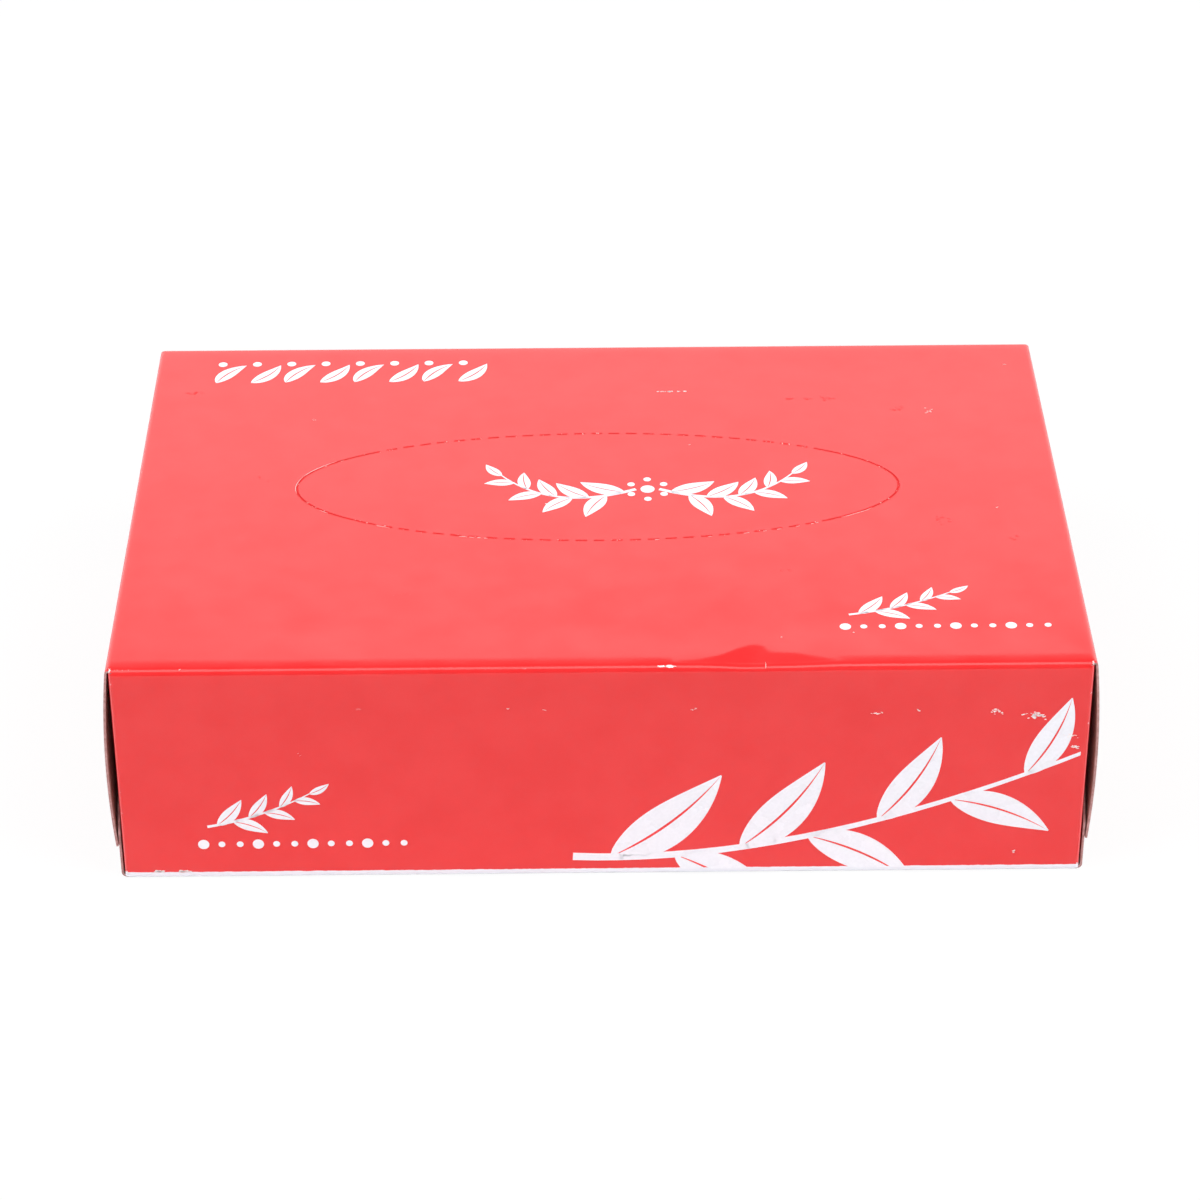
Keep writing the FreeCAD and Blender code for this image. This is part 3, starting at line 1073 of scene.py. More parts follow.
class PrintPlate:
    """Shapes that one panel's print is made of, laid flat on the blank."""

    STEPS = 22
    INK = 0.04 * MM
    SUNK = 0.03 * MM
    CROP_DISTANCE = 1e-8
    DOT_SIDES = 24
    # Flecks: corners, spread about the middle, and ranges of their shares and turns
    FLECK_SIDES = 9
    FLECK_SPREAD = 0.5
    FLECK_LENGTHS = (0.25, 1)
    FLECK_WIDTHS = (0.2, 0.6)
    FLECK_TILTS = (-0.3, 0.3)
    FLECK_RAGGED = (0.45, 1)
    # Leaves of a branch: places in steps between them, loss of size, veins and bend
    LEAF_START = 0.6
    LEAF_STOP = 0.4
    LEAF_SHRINK = 0.45
    VEIN_SHARE = 0.09
    VEIN_LEAST = 0.12
    LEAF_ARCH = 0.12

    def __init__(self, plan: FoldPlan, panel: Panel, foot: float) -> None:
        """Starts an empty plate.

        Args:
            plan: creases that the print is folded round.
            panel: the panel that it is on.
            foot: height of the panel's start in the drawing's millimetres.
        """
        self.plan = plan
        self.panel = panel
        self.foot = foot
        self.shape = bmesh.new()

    def flat(self, place: complex) -> Vector:
        """Returns a drawing's place on the flat blank."""
        station = self.panel.start + (place.imag - self.foot) * MM
        return Vector((place.real * MM, station, self.INK))

    def stroke(self, curve: Curve, sides: tuple[float, float], outline: Outline) -> None:
        """Adds a shape along a curve.

        Args:
            curve: the line that it follows.
            sides: offsets of its right and left side where it is widest.
            outline: how it swells.
        """
        verts = bmesh.ops.create_grid(self.shape, x_segments=self.STEPS, y_segments=1,
                                      size=1)["verts"]
        for vert in verts:
            share = (vert.co.x + 1) / 2
            offset = (sides[0] if vert.co.y < 0 else sides[1]) * outline.swell(share)
            vert.co = self.flat(curve.at(share) + 1j * curve.heading(share) * offset)

    def leaf(self, start: complex, tip: complex, width: float, vein: float, arch: float) -> None:
        """Adds a leaf in two halves with a bare vein between them.

        Args:
            start: where it leaves its stem.
            tip: its end.
            width: its half width.
            vein: width of the vein.
            arch: sideways bend as a share of its length.
        """
        way = tip - start
        curve = Curve(start, start + way * (0.5 + 1j * arch), tip)
        self.stroke(curve, (vein / 2, width), Outline.LEAF)
        self.stroke(curve, (-width, -vein / 2), Outline.LEAF)

    def dot(self, place: complex, radius: float) -> None:
        """Adds a round dot.

        Args:
            place: its middle.
            radius: its radius in millimetres.
        """
        verts = bmesh.ops.create_circle(self.shape, cap_ends=True, radius=radius * MM,
                                        segments=self.DOT_SIDES)["verts"]
        bmesh.ops.translate(self.shape, verts=verts, vec=self.flat(place))

    def rub(self, scuff: Scuff, chance: Random) -> None:
        """Adds the flecks of a rubbed place.

        Args:
            scuff: the place.
            chance: source of the flecks' places and shapes.
        """
        for _ in range(scuff.flecks):
            across = scuff.reach.real * chance.gauss(0, self.FLECK_SPREAD)
            up = scuff.reach.imag * chance.gauss(0, self.FLECK_SPREAD)
            place = scuff.middle + complex(across, up)
            length = scuff.size * chance.uniform(*self.FLECK_LENGTHS)
            width = length * chance.uniform(*self.FLECK_WIDTHS)
            tilt = cmath.rect(1, chance.uniform(*self.FLECK_TILTS))
            verts = bmesh.ops.create_circle(self.shape, cap_ends=True, radius=1,
                                            segments=self.FLECK_SIDES)["verts"]
            for vert in verts:
                ragged = chance.uniform(*self.FLECK_RAGGED)
                vert.co = self.flat(place + tilt * complex(
                    vert.co.x * length * ragged, vert.co.y * width * ragged))

    def crop(self, place: complex, outward: complex) -> None:
        """Cuts the print off beyond a line.

        Args:
            place: a point of the line.
            outward: direction of what is cut off.
        """
        geometry = [*self.shape.verts, *self.shape.edges, *self.shape.faces]
        bmesh.ops.bisect_plane(self.shape, geom=geometry, dist=self.CROP_DISTANCE,
                               plane_co=self.flat(place),
                               plane_no=(outward.real, outward.imag, 0), clear_outer=True)

    def branch(self, stem: Curve, style: BranchStyle, turned: bool = False) -> None:
        """Adds a stem with leaves on both sides that get smaller towards its tip.

        Args:
            stem: the stem's line.
            style: its leaves, the last one on the tip, and its thickness.
            turned: whether the first leaf is on the right.
        """
        self.stroke(stem, (-style.thickness / 2, style.thickness / 2), Outline.STEM)
        for number in range(style.leaves):
            share = (number + self.LEAF_START) / (style.leaves - self.LEAF_STOP)
            shrink = 1 - self.LEAF_SHRINK * share
            side = 1 if (number % 2 == 0) != turned else -1
            foot, heading = stem.at(min(share, 1)), stem.heading(min(share, 1))
            angle = 0 if number == style.leaves - 1 else side * math.radians(style.spread)
            way = heading * cmath.rect(style.length * shrink, angle)
            self.leaf(foot, foot + way, style.half_width * shrink,
                      self.VEIN_SHARE * style.half_width * shrink + self.VEIN_LEAST,
                      -self.LEAF_ARCH * side)

    def finish(self, name: str) -> bpy.types.Object:
        """Gives the ink its thickness and folds it with the blank.

        Args:
            name: the object's name.

        Returns:
            The folded print.
        """
        bmesh.ops.remove_doubles(self.shape, verts=self.shape.verts[:], dist=TINY)
        bmesh.ops.dissolve_degenerate(self.shape, dist=TINY, edges=self.shape.edges[:])
        self.shape.normal_update()
        down = [face for face in self.shape.faces if face.normal.z < 0]
        bmesh.ops.reverse_faces(self.shape, faces=down)
        bmesh.ops.solidify(self.shape, geom=self.shape.faces[:], thickness=self.INK + self.SUNK)
        for vert in self.shape.verts:
            vert.co = self.plan.fold(vert.co)
        return finish_mesh(name, self.shape)


class Print:
    """The white print in millimetres: sprigs and dots on the top and front panels."""

    # A small sprig over a row of dots, measured from the lower left corner of the mark
    MARK_STEM = Curve(3 + 6j, 14 + 8j, 24 + 14j)
    MARK_STYLE = BranchStyle(7, 8.4, 1.5, 38, 0.6)
    MARK_DOTS = 12
    MARK_DOT = 2 + 1.6j
    MARK_PITCH = 3.7
    LARGE_DOT_EVERY = 3
    LARGE_DOT = 1.15
    SMALL_DOT = 0.7
    TOP_MARK = 47 - 53j
    FRONT_MARK = -83 + 7.2j

    # The row of leaves and dots at the top panel's far left
    ROW_LEAVES = 8
    ROW_START = -84.5 + 49.6j
    ROW_PITCH = 7.7
    ROW_LEAF = 6.2 + 7.6j
    ROW_HALF_WIDTH = 1.75
    ROW_VEIN = 0.36
    ROW_ARCH = 0.16
    ROW_DOT_PLACE = 0.9 + 8.2j
    ROW_DOT = 1.0

    # The wreath in the oval: two sprigs and a ring of dots
    WREATH = 10.5 + 2.5j
    WREATH_STEM = Curve(2.5 + 0j, 20 - 9j, 31 + 6j)
    WREATH_STYLE = BranchStyle(9, 10.5, 2.1, 47, 0.9)
    WREATH_DOT = 1.5
    RING_DOTS = 6
    RING_RADIUS = 4.0
    RING_DOT = 0.8

    # The long branch over the front panel's right half, and where it is cut off
    FRONT_STEM = Curve(-6 + 5j, 48 + 2j, 116 + 40j)
    FRONT_STYLE = BranchStyle(9, 31, 5.2, 42, 1.8)
    FRONT_SIDE_ROOM = 1.5
    FRONT_TOP = 48

    def __init__(self, plan: FoldPlan) -> None:
        """Takes the creases that the print is folded round."""
        self.plan = plan

    def sprig_mark(self, plate: PrintPlate, left: complex) -> None:
        """Adds a small sprig over a row of dots.

        Args:
            plate: the print that it joins.
            left: lower left corner of the mark.
        """
        plate.branch(self.MARK_STEM.placed(left), self.MARK_STYLE)
        for number in range(self.MARK_DOTS):
            radius = self.SMALL_DOT if number % self.LARGE_DOT_EVERY else self.LARGE_DOT
            plate.dot(left + self.MARK_DOT + self.MARK_PITCH * number, radius)

    def build_top(self) -> bpy.types.Object:
        """Prints the top panel.

        Returns:
            Its print.
        """
        top = self.plan.panels["top"]
        plate = PrintPlate(self.plan, top, -top.length / 2 / MM)
        for number in range(self.ROW_LEAVES):
            foot = self.ROW_START + self.ROW_PITCH * number
            arch = self.ROW_ARCH if number % 2 == 0 else -self.ROW_ARCH
            plate.leaf(foot, foot + self.ROW_LEAF, self.ROW_HALF_WIDTH, self.ROW_VEIN, arch)
            plate.dot(foot + self.ROW_DOT_PLACE, self.ROW_DOT)
        for side in (-1, 1):
            stem = self.WREATH_STEM.placed(self.WREATH, side)
            plate.branch(stem, self.WREATH_STYLE, turned=side < 0)
        plate.dot(self.WREATH, self.WREATH_DOT)
        for number in range(self.RING_DOTS):
            turn = 2 * math.pi * (number + 0.5) / self.RING_DOTS
            plate.dot(self.WREATH + cmath.rect(self.RING_RADIUS, turn), self.RING_DOT)
        self.sprig_mark(plate, self.TOP_MARK)
        return plate.finish("top_print")

    def build_front(self) -> bpy.types.Object:
        """Prints the front panel.

        Returns:
            Its print.
        """
        front, sizes = self.plan.panels["front"], self.plan.sizes
        low = sizes.fold_radius / MM
        plate = PrintPlate(self.plan, front, low)
        plate.branch(self.FRONT_STEM, self.FRONT_STYLE)
        plate.crop(complex(sizes.end / MM - self.FRONT_SIDE_ROOM, 0), 1)
        plate.crop(complex(0, low), -1j)
        plate.crop(complex(0, self.FRONT_TOP), 1j)
        self.sprig_mark(plate, self.FRONT_MARK)
        return plate.finish("front_print")


class WearAndGlints:
    """Rubbed places where the print is gone, and painted highlights along the oval's cut, at the
    photograph's places.
    """

    SEED = 11
    SIDE_ROOM = 0.1  # between the flecks and the end of a panel, in millimetres
    # Lines of broken print over the fold, and the offsets of the sides of every drawn line, both
    # these and the rim's painted highlights
    CRACKS = (Curve(32.35 + 50.6j, 32.5 + 51.5j, 32.4 + 52.6j),)
    LINE_SIDES = (-0.04, 0.04)
    # Stretches of the oval's rim with a painted highlight: pale strokes where the cut's raised
    # edge would catch the light, in degrees from its +X tip
    RIM_GLINTS = (
        (186, 167), (169, 151), (-156.5, -152.5), (-37.5, -26), (-136.5, -133),
        (-117, -115.4), (-115, -113.9), (-113.4, -112.5), (-111.9, -111.2), (-79.6, -78.7),
        (-69.3, -68.4), (-61.9, -60.7), (-57.7, -56.9), (-54.6, -53.4), (-50.0, -49.0),
        (-46.2, -45.4), (-44.9, -44.2),
    )
    # Rubbed places: X, and Y on the top panel or Z on the front one
    TOP = (
        Scuff(16.4 + 44.1j, 3.0 + 0.1j, 16, 0.6), Scuff(73.0 + 34.6j, 1.8 + 1.6j, 9, 0.3),
        Scuff(91.7 + 55.2j, 0.2 + 0.2j, 4, 0.45), Scuff(-11 - 3.1j, 0.15 + 0.15j, 3, 0.35),
        Scuff(38.4 + 4.9j, 0.2 + 0.15j, 3, 0.35), Scuff(36 - 55j, 0.2 + 0.5j, 5, 0.2),
        Scuff(50.5 - 53.5j, 0.15 + 0.2j, 3, 0.25), Scuff(20 + 21j, 0.3 + 0.2j, 3, 0.2),
        Scuff(-62 + 33j, 0.4 + 0.3j, 4, 0.2), Scuff(84 - 6j, 0.3 + 0.3j, 3, 0.2),
    )
    FRONT = (
        Scuff(-94.5 + 51.35j, 1.8 + 0.06j, 6, 0.1), Scuff(-83.3 + 51.4j, 0.5 + 0.1j, 4, 0.22),
        Scuff(11.7 + 51.25j, 1.1 + 0.05j, 14, 0.42), Scuff(13.6 + 51.25j, 0.8 + 0.14j, 20, 0.66),
        Scuff(32.4 + 51.4j, 0.05 + 0.6j, 5, 0.08),
        Scuff(55.1 + 39.8j, 1.2 + 0.25j, 9, 0.4), Scuff(62.9 + 40.3j, 0.5 + 0.5j, 6, 0.35),
        Scuff(78.6 + 40.1j, 1.0 + 0.7j, 18, 0.45), Scuff(86.6 + 38.9j, 1.7 + 0.8j, 44, 0.6),
        Scuff(94.0 + 33.9j, 1.4 + 0.5j, 16, 0.4), Scuff(94.8 + 31.2j, 0.9 + 0.5j, 16, 0.4),
        Scuff(83.9 + 5.3j, 0.3 + 0.4j, 5, 0.35), Scuff(-11.4 + 41.2j, 0.5 + 0.3j, 4, 0.3),
        Scuff(-18.7 + 41.7j, 0.4 + 0.3j, 4, 0.25), Scuff(17.9 + 41.1j, 0.7 + 0.2j, 5, 0.3),
        Scuff(15 + 16.3j, 0.4 + 0.3j, 3, 0.25), Scuff(-60.6 + 30.6j, 0.4 + 0.4j, 3, 0.25),
        Scuff(-48.3 + 41.8j, 0.3 + 0.3j, 3, 0.2), Scuff(-72 + 14j, 0.4 + 0.4j, 3, 0.2),
        Scuff(-90.5 + 2.1j, 1.2 + 0.15j, 18, 0.7), Scuff(-85.6 + 2.1j, 1.6 + 0.2j, 20, 0.8),
        Scuff(-97.2 + 51.3j, 0.2 + 0.4j, 14, 0.25), Scuff(97.2 + 51.3j, 0.2 + 0.4j, 14, 0.25),
        Scuff(-97.1 + 2.0j, 0.2 + 0.3j, 7, 0.25), Scuff(97.1 + 2.0j, 0.2 + 0.3j, 7, 0.25),
    )
    # Places on the top panel where only the varnish is dulled
    DULL = (
        Scuff(-88.8 + 44.8j, 2.2 + 1.2j, 10, 0.55), Scuff(50.5 + 40.4j, 1.8 + 0.9j, 9, 0.5),
        Scuff(42.9 + 40.6j, 1.4 + 0.6j, 7, 0.5), Scuff(46.5 + 40.6j, 0.9 + 0.5j, 5, 0.5),
        Scuff(66.5 + 35.9j, 2.6 + 1.6j, 10, 0.5), Scuff(71.7 - 10.2j, 1.8 + 2.2j, 9, 0.6),
        Scuff(86.4 - 18.2j, 1.2 + 1.0j, 6, 0.5), Scuff(-12 + 6j, 2.2 + 0.3j, 5, 0.6),
        Scuff(-87.9 - 15.7j, 0.15 + 0.15j, 3, 0.3), Scuff(38 - 30j, 2.0 + 1.5j, 5, 0.35),
        Scuff(-40 - 38j, 2.0 + 1.0j, 4, 0.3), Scuff(-72 + 8j, 1.5 + 1.5j, 4, 0.35),
    )

    def __init__(self, plan: FoldPlan) -> None:
        """Takes the creases that the board is folded round."""
        self.plan = plan

    def build(self, name: str, panel: Panel, scuffs: tuple[Scuff, ...],
              lines: tuple[Curve, ...], foot: float) -> bpy.types.Object:
        """Rubs one panel and draws its lines.

        Args:
            name: the object's name.
            panel: the panel that they are on.
            scuffs: its rubbed places.
            lines: lines of broken print, and on the top painted highlights along the oval's rim.
            foot: height of the panel's start in the places' millimetres.

        Returns:
            Its flecks.
        """
        chance = Random(self.SEED)
        plate = PrintPlate(self.plan, panel, foot)
        for scuff in scuffs:
            plate.rub(scuff, chance)
        for line in lines:
            plate.stroke(line, self.LINE_SIDES, Outline.LEAF)
        edge = self.plan.sizes.end / MM - self.SIDE_ROOM
        for side in (-1, 1):
            plate.crop(complex(edge * side, 0), side)
        return plate.finish(name)

    def rim_glints(self, oval: Perforation) -> tuple[Curve, ...]:
        """Follows the stretches of the cut that get a painted highlight: pale strokes on its
        raised rim, as if it caught the light.

        Args:
            oval: the tear-out.

        Returns:
            Their curves.
        """
        def on_rim(degrees: float) -> complex:
            """Returns a point of the cut's outer rim in millimetres."""
            place = oval.point(math.radians(degrees), oval.cut_width / 2) / MM
            return complex(place.x, place.y + self.plan.sizes.oval_setback / MM)

        # Painted highlight: each stretch becomes a pale stroke along the cut's outer rim
        curves = []
        for first, last in self.RIM_GLINTS:
            start, middle, tip = on_rim(first), on_rim((first + last) / 2), on_rim(last)
            curves.append(Curve(start, 2 * middle - (start + tip) / 2, tip))
        return tuple(curves)

    def build_flecks(self, oval: Perforation) -> list[bpy.types.Object]:
        """Rubs the top, and the front with its folds, and paints highlights along the oval's rim
        on the top.

        Args:
            oval: the tear-out.

        Returns:
            The flecks of each, with the top's painted highlights.
        """
        top, front = self.plan.panels["top"], self.plan.panels["front"]
        low = self.plan.sizes.fold_radius / MM
        return [
            self.build("top_scuffs_and_rim_glints", top, self.TOP, self.rim_glints(oval),
                       -top.length / 2 / MM),
            self.build("front_scuffs", front, self.FRONT, self.CRACKS, low),
        ]

    def build_dull_marks(self) -> bpy.types.Object:
        """Returns the places on the top where only the varnish is dulled."""
        top = self.plan.panels["top"]
        return self.build("dull_marks", top, self.DULL, (), -top.length / 2 / MM)


@dataclass(frozen=True)
class Grain:
    """A pattern of noise, with a scale in 1 / metre and the range of it that counts."""

    scale: float
    detail: float
    stretch: Triple = (1, 1, 1)
    low: float = 0.0
    high: float = 1.0
    shift: Triple = (0, 0, 0)


@dataclass(frozen=True)
class Relief:
    """How strongly a pattern bends the light, and how high it stands."""

    strength: float
    height: float


# Fibres lie along the box, so their patterns are stretched that way
FIBRE_STRETCH = (0.4, 1, 1)


class Material:
    """A material's nodes, added and joined in a maker's words."""

    def __init__(self, name: str) -> None:
        """Starts a material with a Principled surface on Object coordinates.

        Args:
            name: the material's name.
        """
        self.material = bpy.data.materials.new(name)
        self.material.use_nodes = True
        self.tree = self.material.node_tree
        self.surface = self.tree.nodes["Principled BSDF"]
        self.place = self.node("ShaderNodeTexCoord").outputs["Object"]

    def node(self, kind: str, **settings: object) -> bpy.types.Node:
        """Adds a node with some of its settings changed.

        Args:
            kind: Blender's name of its kind.
            **settings: its changed settings.

        Returns:
            The node.
        """
        made = self.tree.nodes.new(kind)
        for key, value in settings.items():
            setattr(made, key, value)
        return made

    def put(self, socket: bpy.types.NodeSocket, value: object) -> None:
        """Links a socket or sets its own value.

        Args:
            socket: the input.
            value: a number, a colour or an output.
        """
        if isinstance(value, bpy.types.NodeSocket):
            self.tree.links.new(value, socket)
        else:
            socket.default_value = value

    def set(self, name: str, value: object) -> None:
        """Gives one of the surface's sockets a value or a link."""
        self.put(self.surface.inputs[name], value)

    def math(self, operation: str, first: object, second: object) -> bpy.types.NodeSocket:
        """Works out a sum on two numbers.

        Args:
            operation: Blender's name of the sum.
            first: a number or an output.
            second: a number or an output.

        Returns:
            The result.
        """
        node = self.node("ShaderNodeMath", operation=operation)
        self.put(node.inputs[0], first)
        self.put(node.inputs[1], second)
        return node.outputs[0]

    def noise(self, grain: Grain) -> bpy.types.NodeSocket:
        """Adds the whole noise of a pattern.

        Args:
            grain: the pattern.

        Returns:
            The noise, of about 0 to 1.
        """
        mapping = self.node("ShaderNodeMapping")
        self.put(mapping.inputs["Vector"], self.place)
        mapping.inputs["Scale"].default_value = grain.stretch
        mapping.inputs["Location"].default_value = grain.shift
        texture = self.node("ShaderNodeTexNoise")
        self.put(texture.inputs["Vector"], mapping.outputs[0])
        texture.inputs["Scale"].default_value = grain.scale
        texture.inputs["Detail"].default_value = grain.detail
        return texture.outputs["Fac"]

    def pattern(self, grain: Grain, start: float = 0.0, end: float = 1.0) -> bpy.types.NodeSocket:
        """Returns the range of a pattern that counts, carried to another range."""
        return self.ramp(self.noise(grain), grain.low, grain.high, start, end)

    def ramp(self, value: object, low: float, high: float, start: float = 0.0,
             end: float = 1.0) -> bpy.types.NodeSocket:
        """Carries a value from one range to another with soft ends.

        Args:
            value: a number or an output.
            low: start of its range.
            high: end of its range.
            start: what the start becomes.
            end: what the end becomes.

        Returns:
            The new value.
        """
        node = self.node("ShaderNodeMapRange", interpolation_type="SMOOTHSTEP")
        for socket, number in zip(node.inputs, (value, low, high, start, end)):
            self.put(socket, number)
        return node.outputs[0]

    def mix(self, share: object, first: object, second: object) -> bpy.types.NodeSocket:
        """Mixes two colours.

        Args:
            share: share of the second one.
            first: a colour or an output.
            second: a colour or an output.

        Returns:
            The mixed colour.
        """
        node = self.node("ShaderNodeMix", data_type="RGBA")
        colours = [socket for socket in node.inputs if socket.type == "RGBA"]
        self.put(node.inputs[0], share)
        for socket, colour in zip(colours, (first, second)):
            self.put(socket, (*colour, 1) if isinstance(colour, tuple) else colour)
        return next(socket for socket in node.outputs if socket.type == "RGBA")

    def axis(self, index: int) -> bpy.types.NodeSocket:
        """Reads one Object coordinate.

        Args:
            index: 0 for X to 2 for Z.

        Returns:
            The coordinate.
        """
        node = self.node("ShaderNodeSeparateXYZ")
        self.put(node.inputs[0], self.place)
        return node.outputs[index]

    def attribute(self, name: str) -> bpy.types.NodeSocket:
        """Returns a number that the mesh carries."""
        return self.node("ShaderNodeAttribute", attribute_name=name).outputs["Fac"]

    def bump(self, height: object, relief: Relief,
             under: bpy.types.NodeSocket | None = None) -> bpy.types.NodeSocket:
        """Bends the surface's normal by a height.

        Args:
            height: the height, from 0 to 1.
            relief: how strong and how high it is.
            under: a normal that is bent already.

        Returns:
            The bent normal.
        """
        node = self.node("ShaderNodeBump")
        node.inputs["Strength"].default_value = relief.strength
        node.inputs["Distance"].default_value = relief.height
        self.put(node.inputs["Height"], height)
        if under:
            self.put(node.inputs["Normal"], under)
        return node.outputs[0]


@dataclass(frozen=True)
class VarnishedBoard:
    """Red offset print under a glossy varnish, on white-coated board, with a painted highlight on
    the end folds' ridges.
    """

    deep: Colour = (0.77, 0.020, 0.022)
    light: Colour = (0.79, 0.026, 0.028)
    bare: Colour = (0.83, 0.84, 0.91)
    gloss: tuple[float, float] = (0.12, 0.19)
    rubbed_roughness: float = 0.3  # added where the varnish is gone
    rub_start: float = 0.62  # fold wear from which the print can chip
    # Painted highlight, partly faded print: share of pale board mixed into the end folds' ridges
    ridge_sheen_and_fade: float = 0.14
    margin_ragged: float = 0.35 * MM
    margin_softness: float = 0.06 * MM
    mottle: Grain = Grain(90, 3, low=0.3, high=0.7)
    chips: Grain = Grain(700, 3, (0.3, 1, 1), 0.70, 0.78)
    ragged: Grain = Grain(600, 3)
    film: Grain = Grain(140, 4, low=0.25, high=0.75)
    fibres: Grain = Grain(900, 4, FIBRE_STRETCH)
    peel: Grain = Grain(260, 2)
    fibre_relief: Relief = Relief(0.05, 0.02 * MM)
    peel_relief: Relief = Relief(0.13, 0.04 * MM)
    chip_relief: Relief = Relief(0.5, -0.04 * MM)

    def make(self, sizes: CartonSizes) -> bpy.types.Material:
        """Makes the printed side's material.

        Args:
            sizes: the carton's sizes, for its unprinted margin.

        Returns:
            The material.
        """
        skin = Material("varnished_red_board")
        red = skin.mix(skin.pattern(self.mottle), self.deep, self.light)
        ridge = skin.ramp(skin.attribute("fold_wear_and_sheen"), self.rub_start, 1.0)
        worn = skin.math("MULTIPLY", ridge, skin.pattern(self.chips))
        # Painted highlight on the end folds' ridges, partly faded print: the red turns towards
        # pale board there
        pale = skin.ramp(skin.attribute("fold_wear_and_sheen"), LONG_FOLD_WEAR, 1.0, 0.0,
                         self.ridge_sheen_and_fade)
        fade_and_sheen = skin.mix(pale, red, self.bare)
        printed = skin.mix(worn, fade_and_sheen, self.bare)
        centred = skin.math("SUBTRACT", skin.noise(self.ragged), 0.5)
        ragged = skin.math("MULTIPLY", centred, self.margin_ragged)
        level = skin.math("ADD", skin.axis(2), ragged)
        blank = skin.ramp(level, sizes.print_margin - self.margin_softness,
                          sizes.print_margin + self.margin_softness, 1.0, 0.0)
        skin.set("Base Color", skin.mix(blank, printed, self.bare))
        rough = skin.math("MULTIPLY", worn, self.rubbed_roughness)
        skin.set("Roughness", skin.math("ADD", skin.pattern(self.film, *self.gloss), rough))
        fibres = skin.bump(skin.noise(self.fibres), self.fibre_relief)
        peel = skin.bump(skin.noise(self.peel), self.peel_relief, fibres)
        skin.set("Normal", skin.bump(worn, self.chip_relief, peel))
        return skin.material


@dataclass(frozen=True)
class WhiteInk:
    """White of the print, under the same varnish."""

    white: Colour = (0.86, 0.86, 0.92)
    shade: Colour = (0.83, 0.83, 0.89)
    gloss: tuple[float, float] = (0.22, 0.32)
    grain: Grain = Grain(1500, 3, low=0.35, high=0.65)
    film: Grain = Grain(140, 4, low=0.25, high=0.75)
    fibres: Grain = Grain(900, 4, FIBRE_STRETCH)
    relief: Relief = Relief(0.12, 0.02 * MM)

    def make(self) -> bpy.types.Material:
        """Makes the material of the white print.

        Returns:
            The material.
        """
        ink = Material("white_print")
        ink.set("Base Color", ink.mix(ink.pattern(self.grain), self.shade, self.white))
        ink.set("Roughness", ink.pattern(self.film, *self.gloss))
        ink.set("Normal", ink.bump(ink.noise(self.fibres), self.relief))
        return ink.material


@dataclass(frozen=True)
class RubbedBoardAndGlint:
    """Bare coating where the varnish and the print are rubbed off, also used as the colour of the
    painted highlights along the oval's rim.
    """

    pale: Colour = (0.88, 0.82, 0.82)
    stained: Colour = (0.86, 0.52, 0.52)
    roughness: tuple[float, float] = (0.5, 0.7)
    stains: Grain = Grain(1800, 3, low=0.45, high=0.75)
    fluff: Grain = Grain(2500, 2)
    relief: Relief = Relief(0.3, 0.02 * MM)

    def make(self) -> bpy.types.Material:
        """Makes the material of the flecks and of the painted rim highlights.

        Returns:
            The material.
        """
        bare = Material("rubbed_coating_and_rim_glint")
        stain = bare.pattern(self.stains)
        bare.set("Base Color", bare.mix(stain, self.pale, self.stained))
        bare.set("Roughness", bare.ramp(stain, 0, 1, *self.roughness))
        bare.set("Normal", bare.bump(bare.noise(self.fluff), self.relief))
        return bare.material


@dataclass(frozen=True)
class PlainBoard:
    """Unprinted board, of pressed fibres with darker specks."""

    name: str
    light: Colour
    dark: Colour
    speck: Colour
    fewness: float = 0.72  # level of the specks' noise that makes a speck
    roughness: tuple[float, float] = (0.82, 0.94)
    fibres: Grain = Grain(1400, 4, FIBRE_STRETCH, 0.3, 0.7)
    specks: Grain = Grain(2200, 2, shift=(0.3, 0, 0))
    speck_softness: float = 0.05
    relief: Relief = Relief(0.4, 0.03 * MM)

    def make(self) -> bpy.types.Material:
        """Makes the board's material.

        Returns:
            The material.
        """
        board = Material(self.name)
        fibres = board.pattern(self.fibres)
        base = board.mix(fibres, self.dark, self.light)
        specks = board.ramp(board.noise(self.specks), self.fewness,
                            self.fewness + self.speck_softness)
        board.set("Base Color", board.mix(specks, base, self.speck))
        board.set("Roughness", board.ramp(fibres, 0, 1, *self.roughness))
        board.set("Normal", board.bump(fibres, self.relief))
        return board.material


# Inner board: its own brownish tone made lighter and redder as painted red bounce light from the
# dust flaps, so that the shaded gaps at the ends read maroon
INNER_BOARD_RED_LIT = PlainBoard("inner_board_painted_red_bounce", (0.58, 0.41, 0.36), (0.46, 0.31, 0.27),
                         (0.15, 0.12, 0.10))
# Cut edges: the pinkish edge of the printed board, darkened as painted shade so that edges in the
# ends' gaps read dark maroon
CUT_BOARD_SHADED = PlainBoard("cut_board_edge_painted_shade", (0.54, 0.30, 0.29), (0.37, 0.18, 0.17),
                       (0.62, 0.50, 0.46))
# Walls of the pressed dashes: the pressed-in red ink, a little darker than the print as painted
# shade in the groove, with pale fibre specks
SLIT_BOARD_SHADED = PlainBoard("pressed_cut_painted_shade", (0.70, 0.012, 0.014), (0.64, 0.010, 0.012),
                        (0.85, 0.62, 0.60), 0.66)
DULL_RED = PlainBoard("dulled_varnish", (0.86, 0.050, 0.055), (0.82, 0.040, 0.044),
                      (0.85, 0.10, 0.10), 0.66)
TISSUE = PlainBoard("tissue_paper", (0.82, 0.82, 0.80), (0.76, 0.76, 0.74),
                    (0.70, 0.70, 0.68))


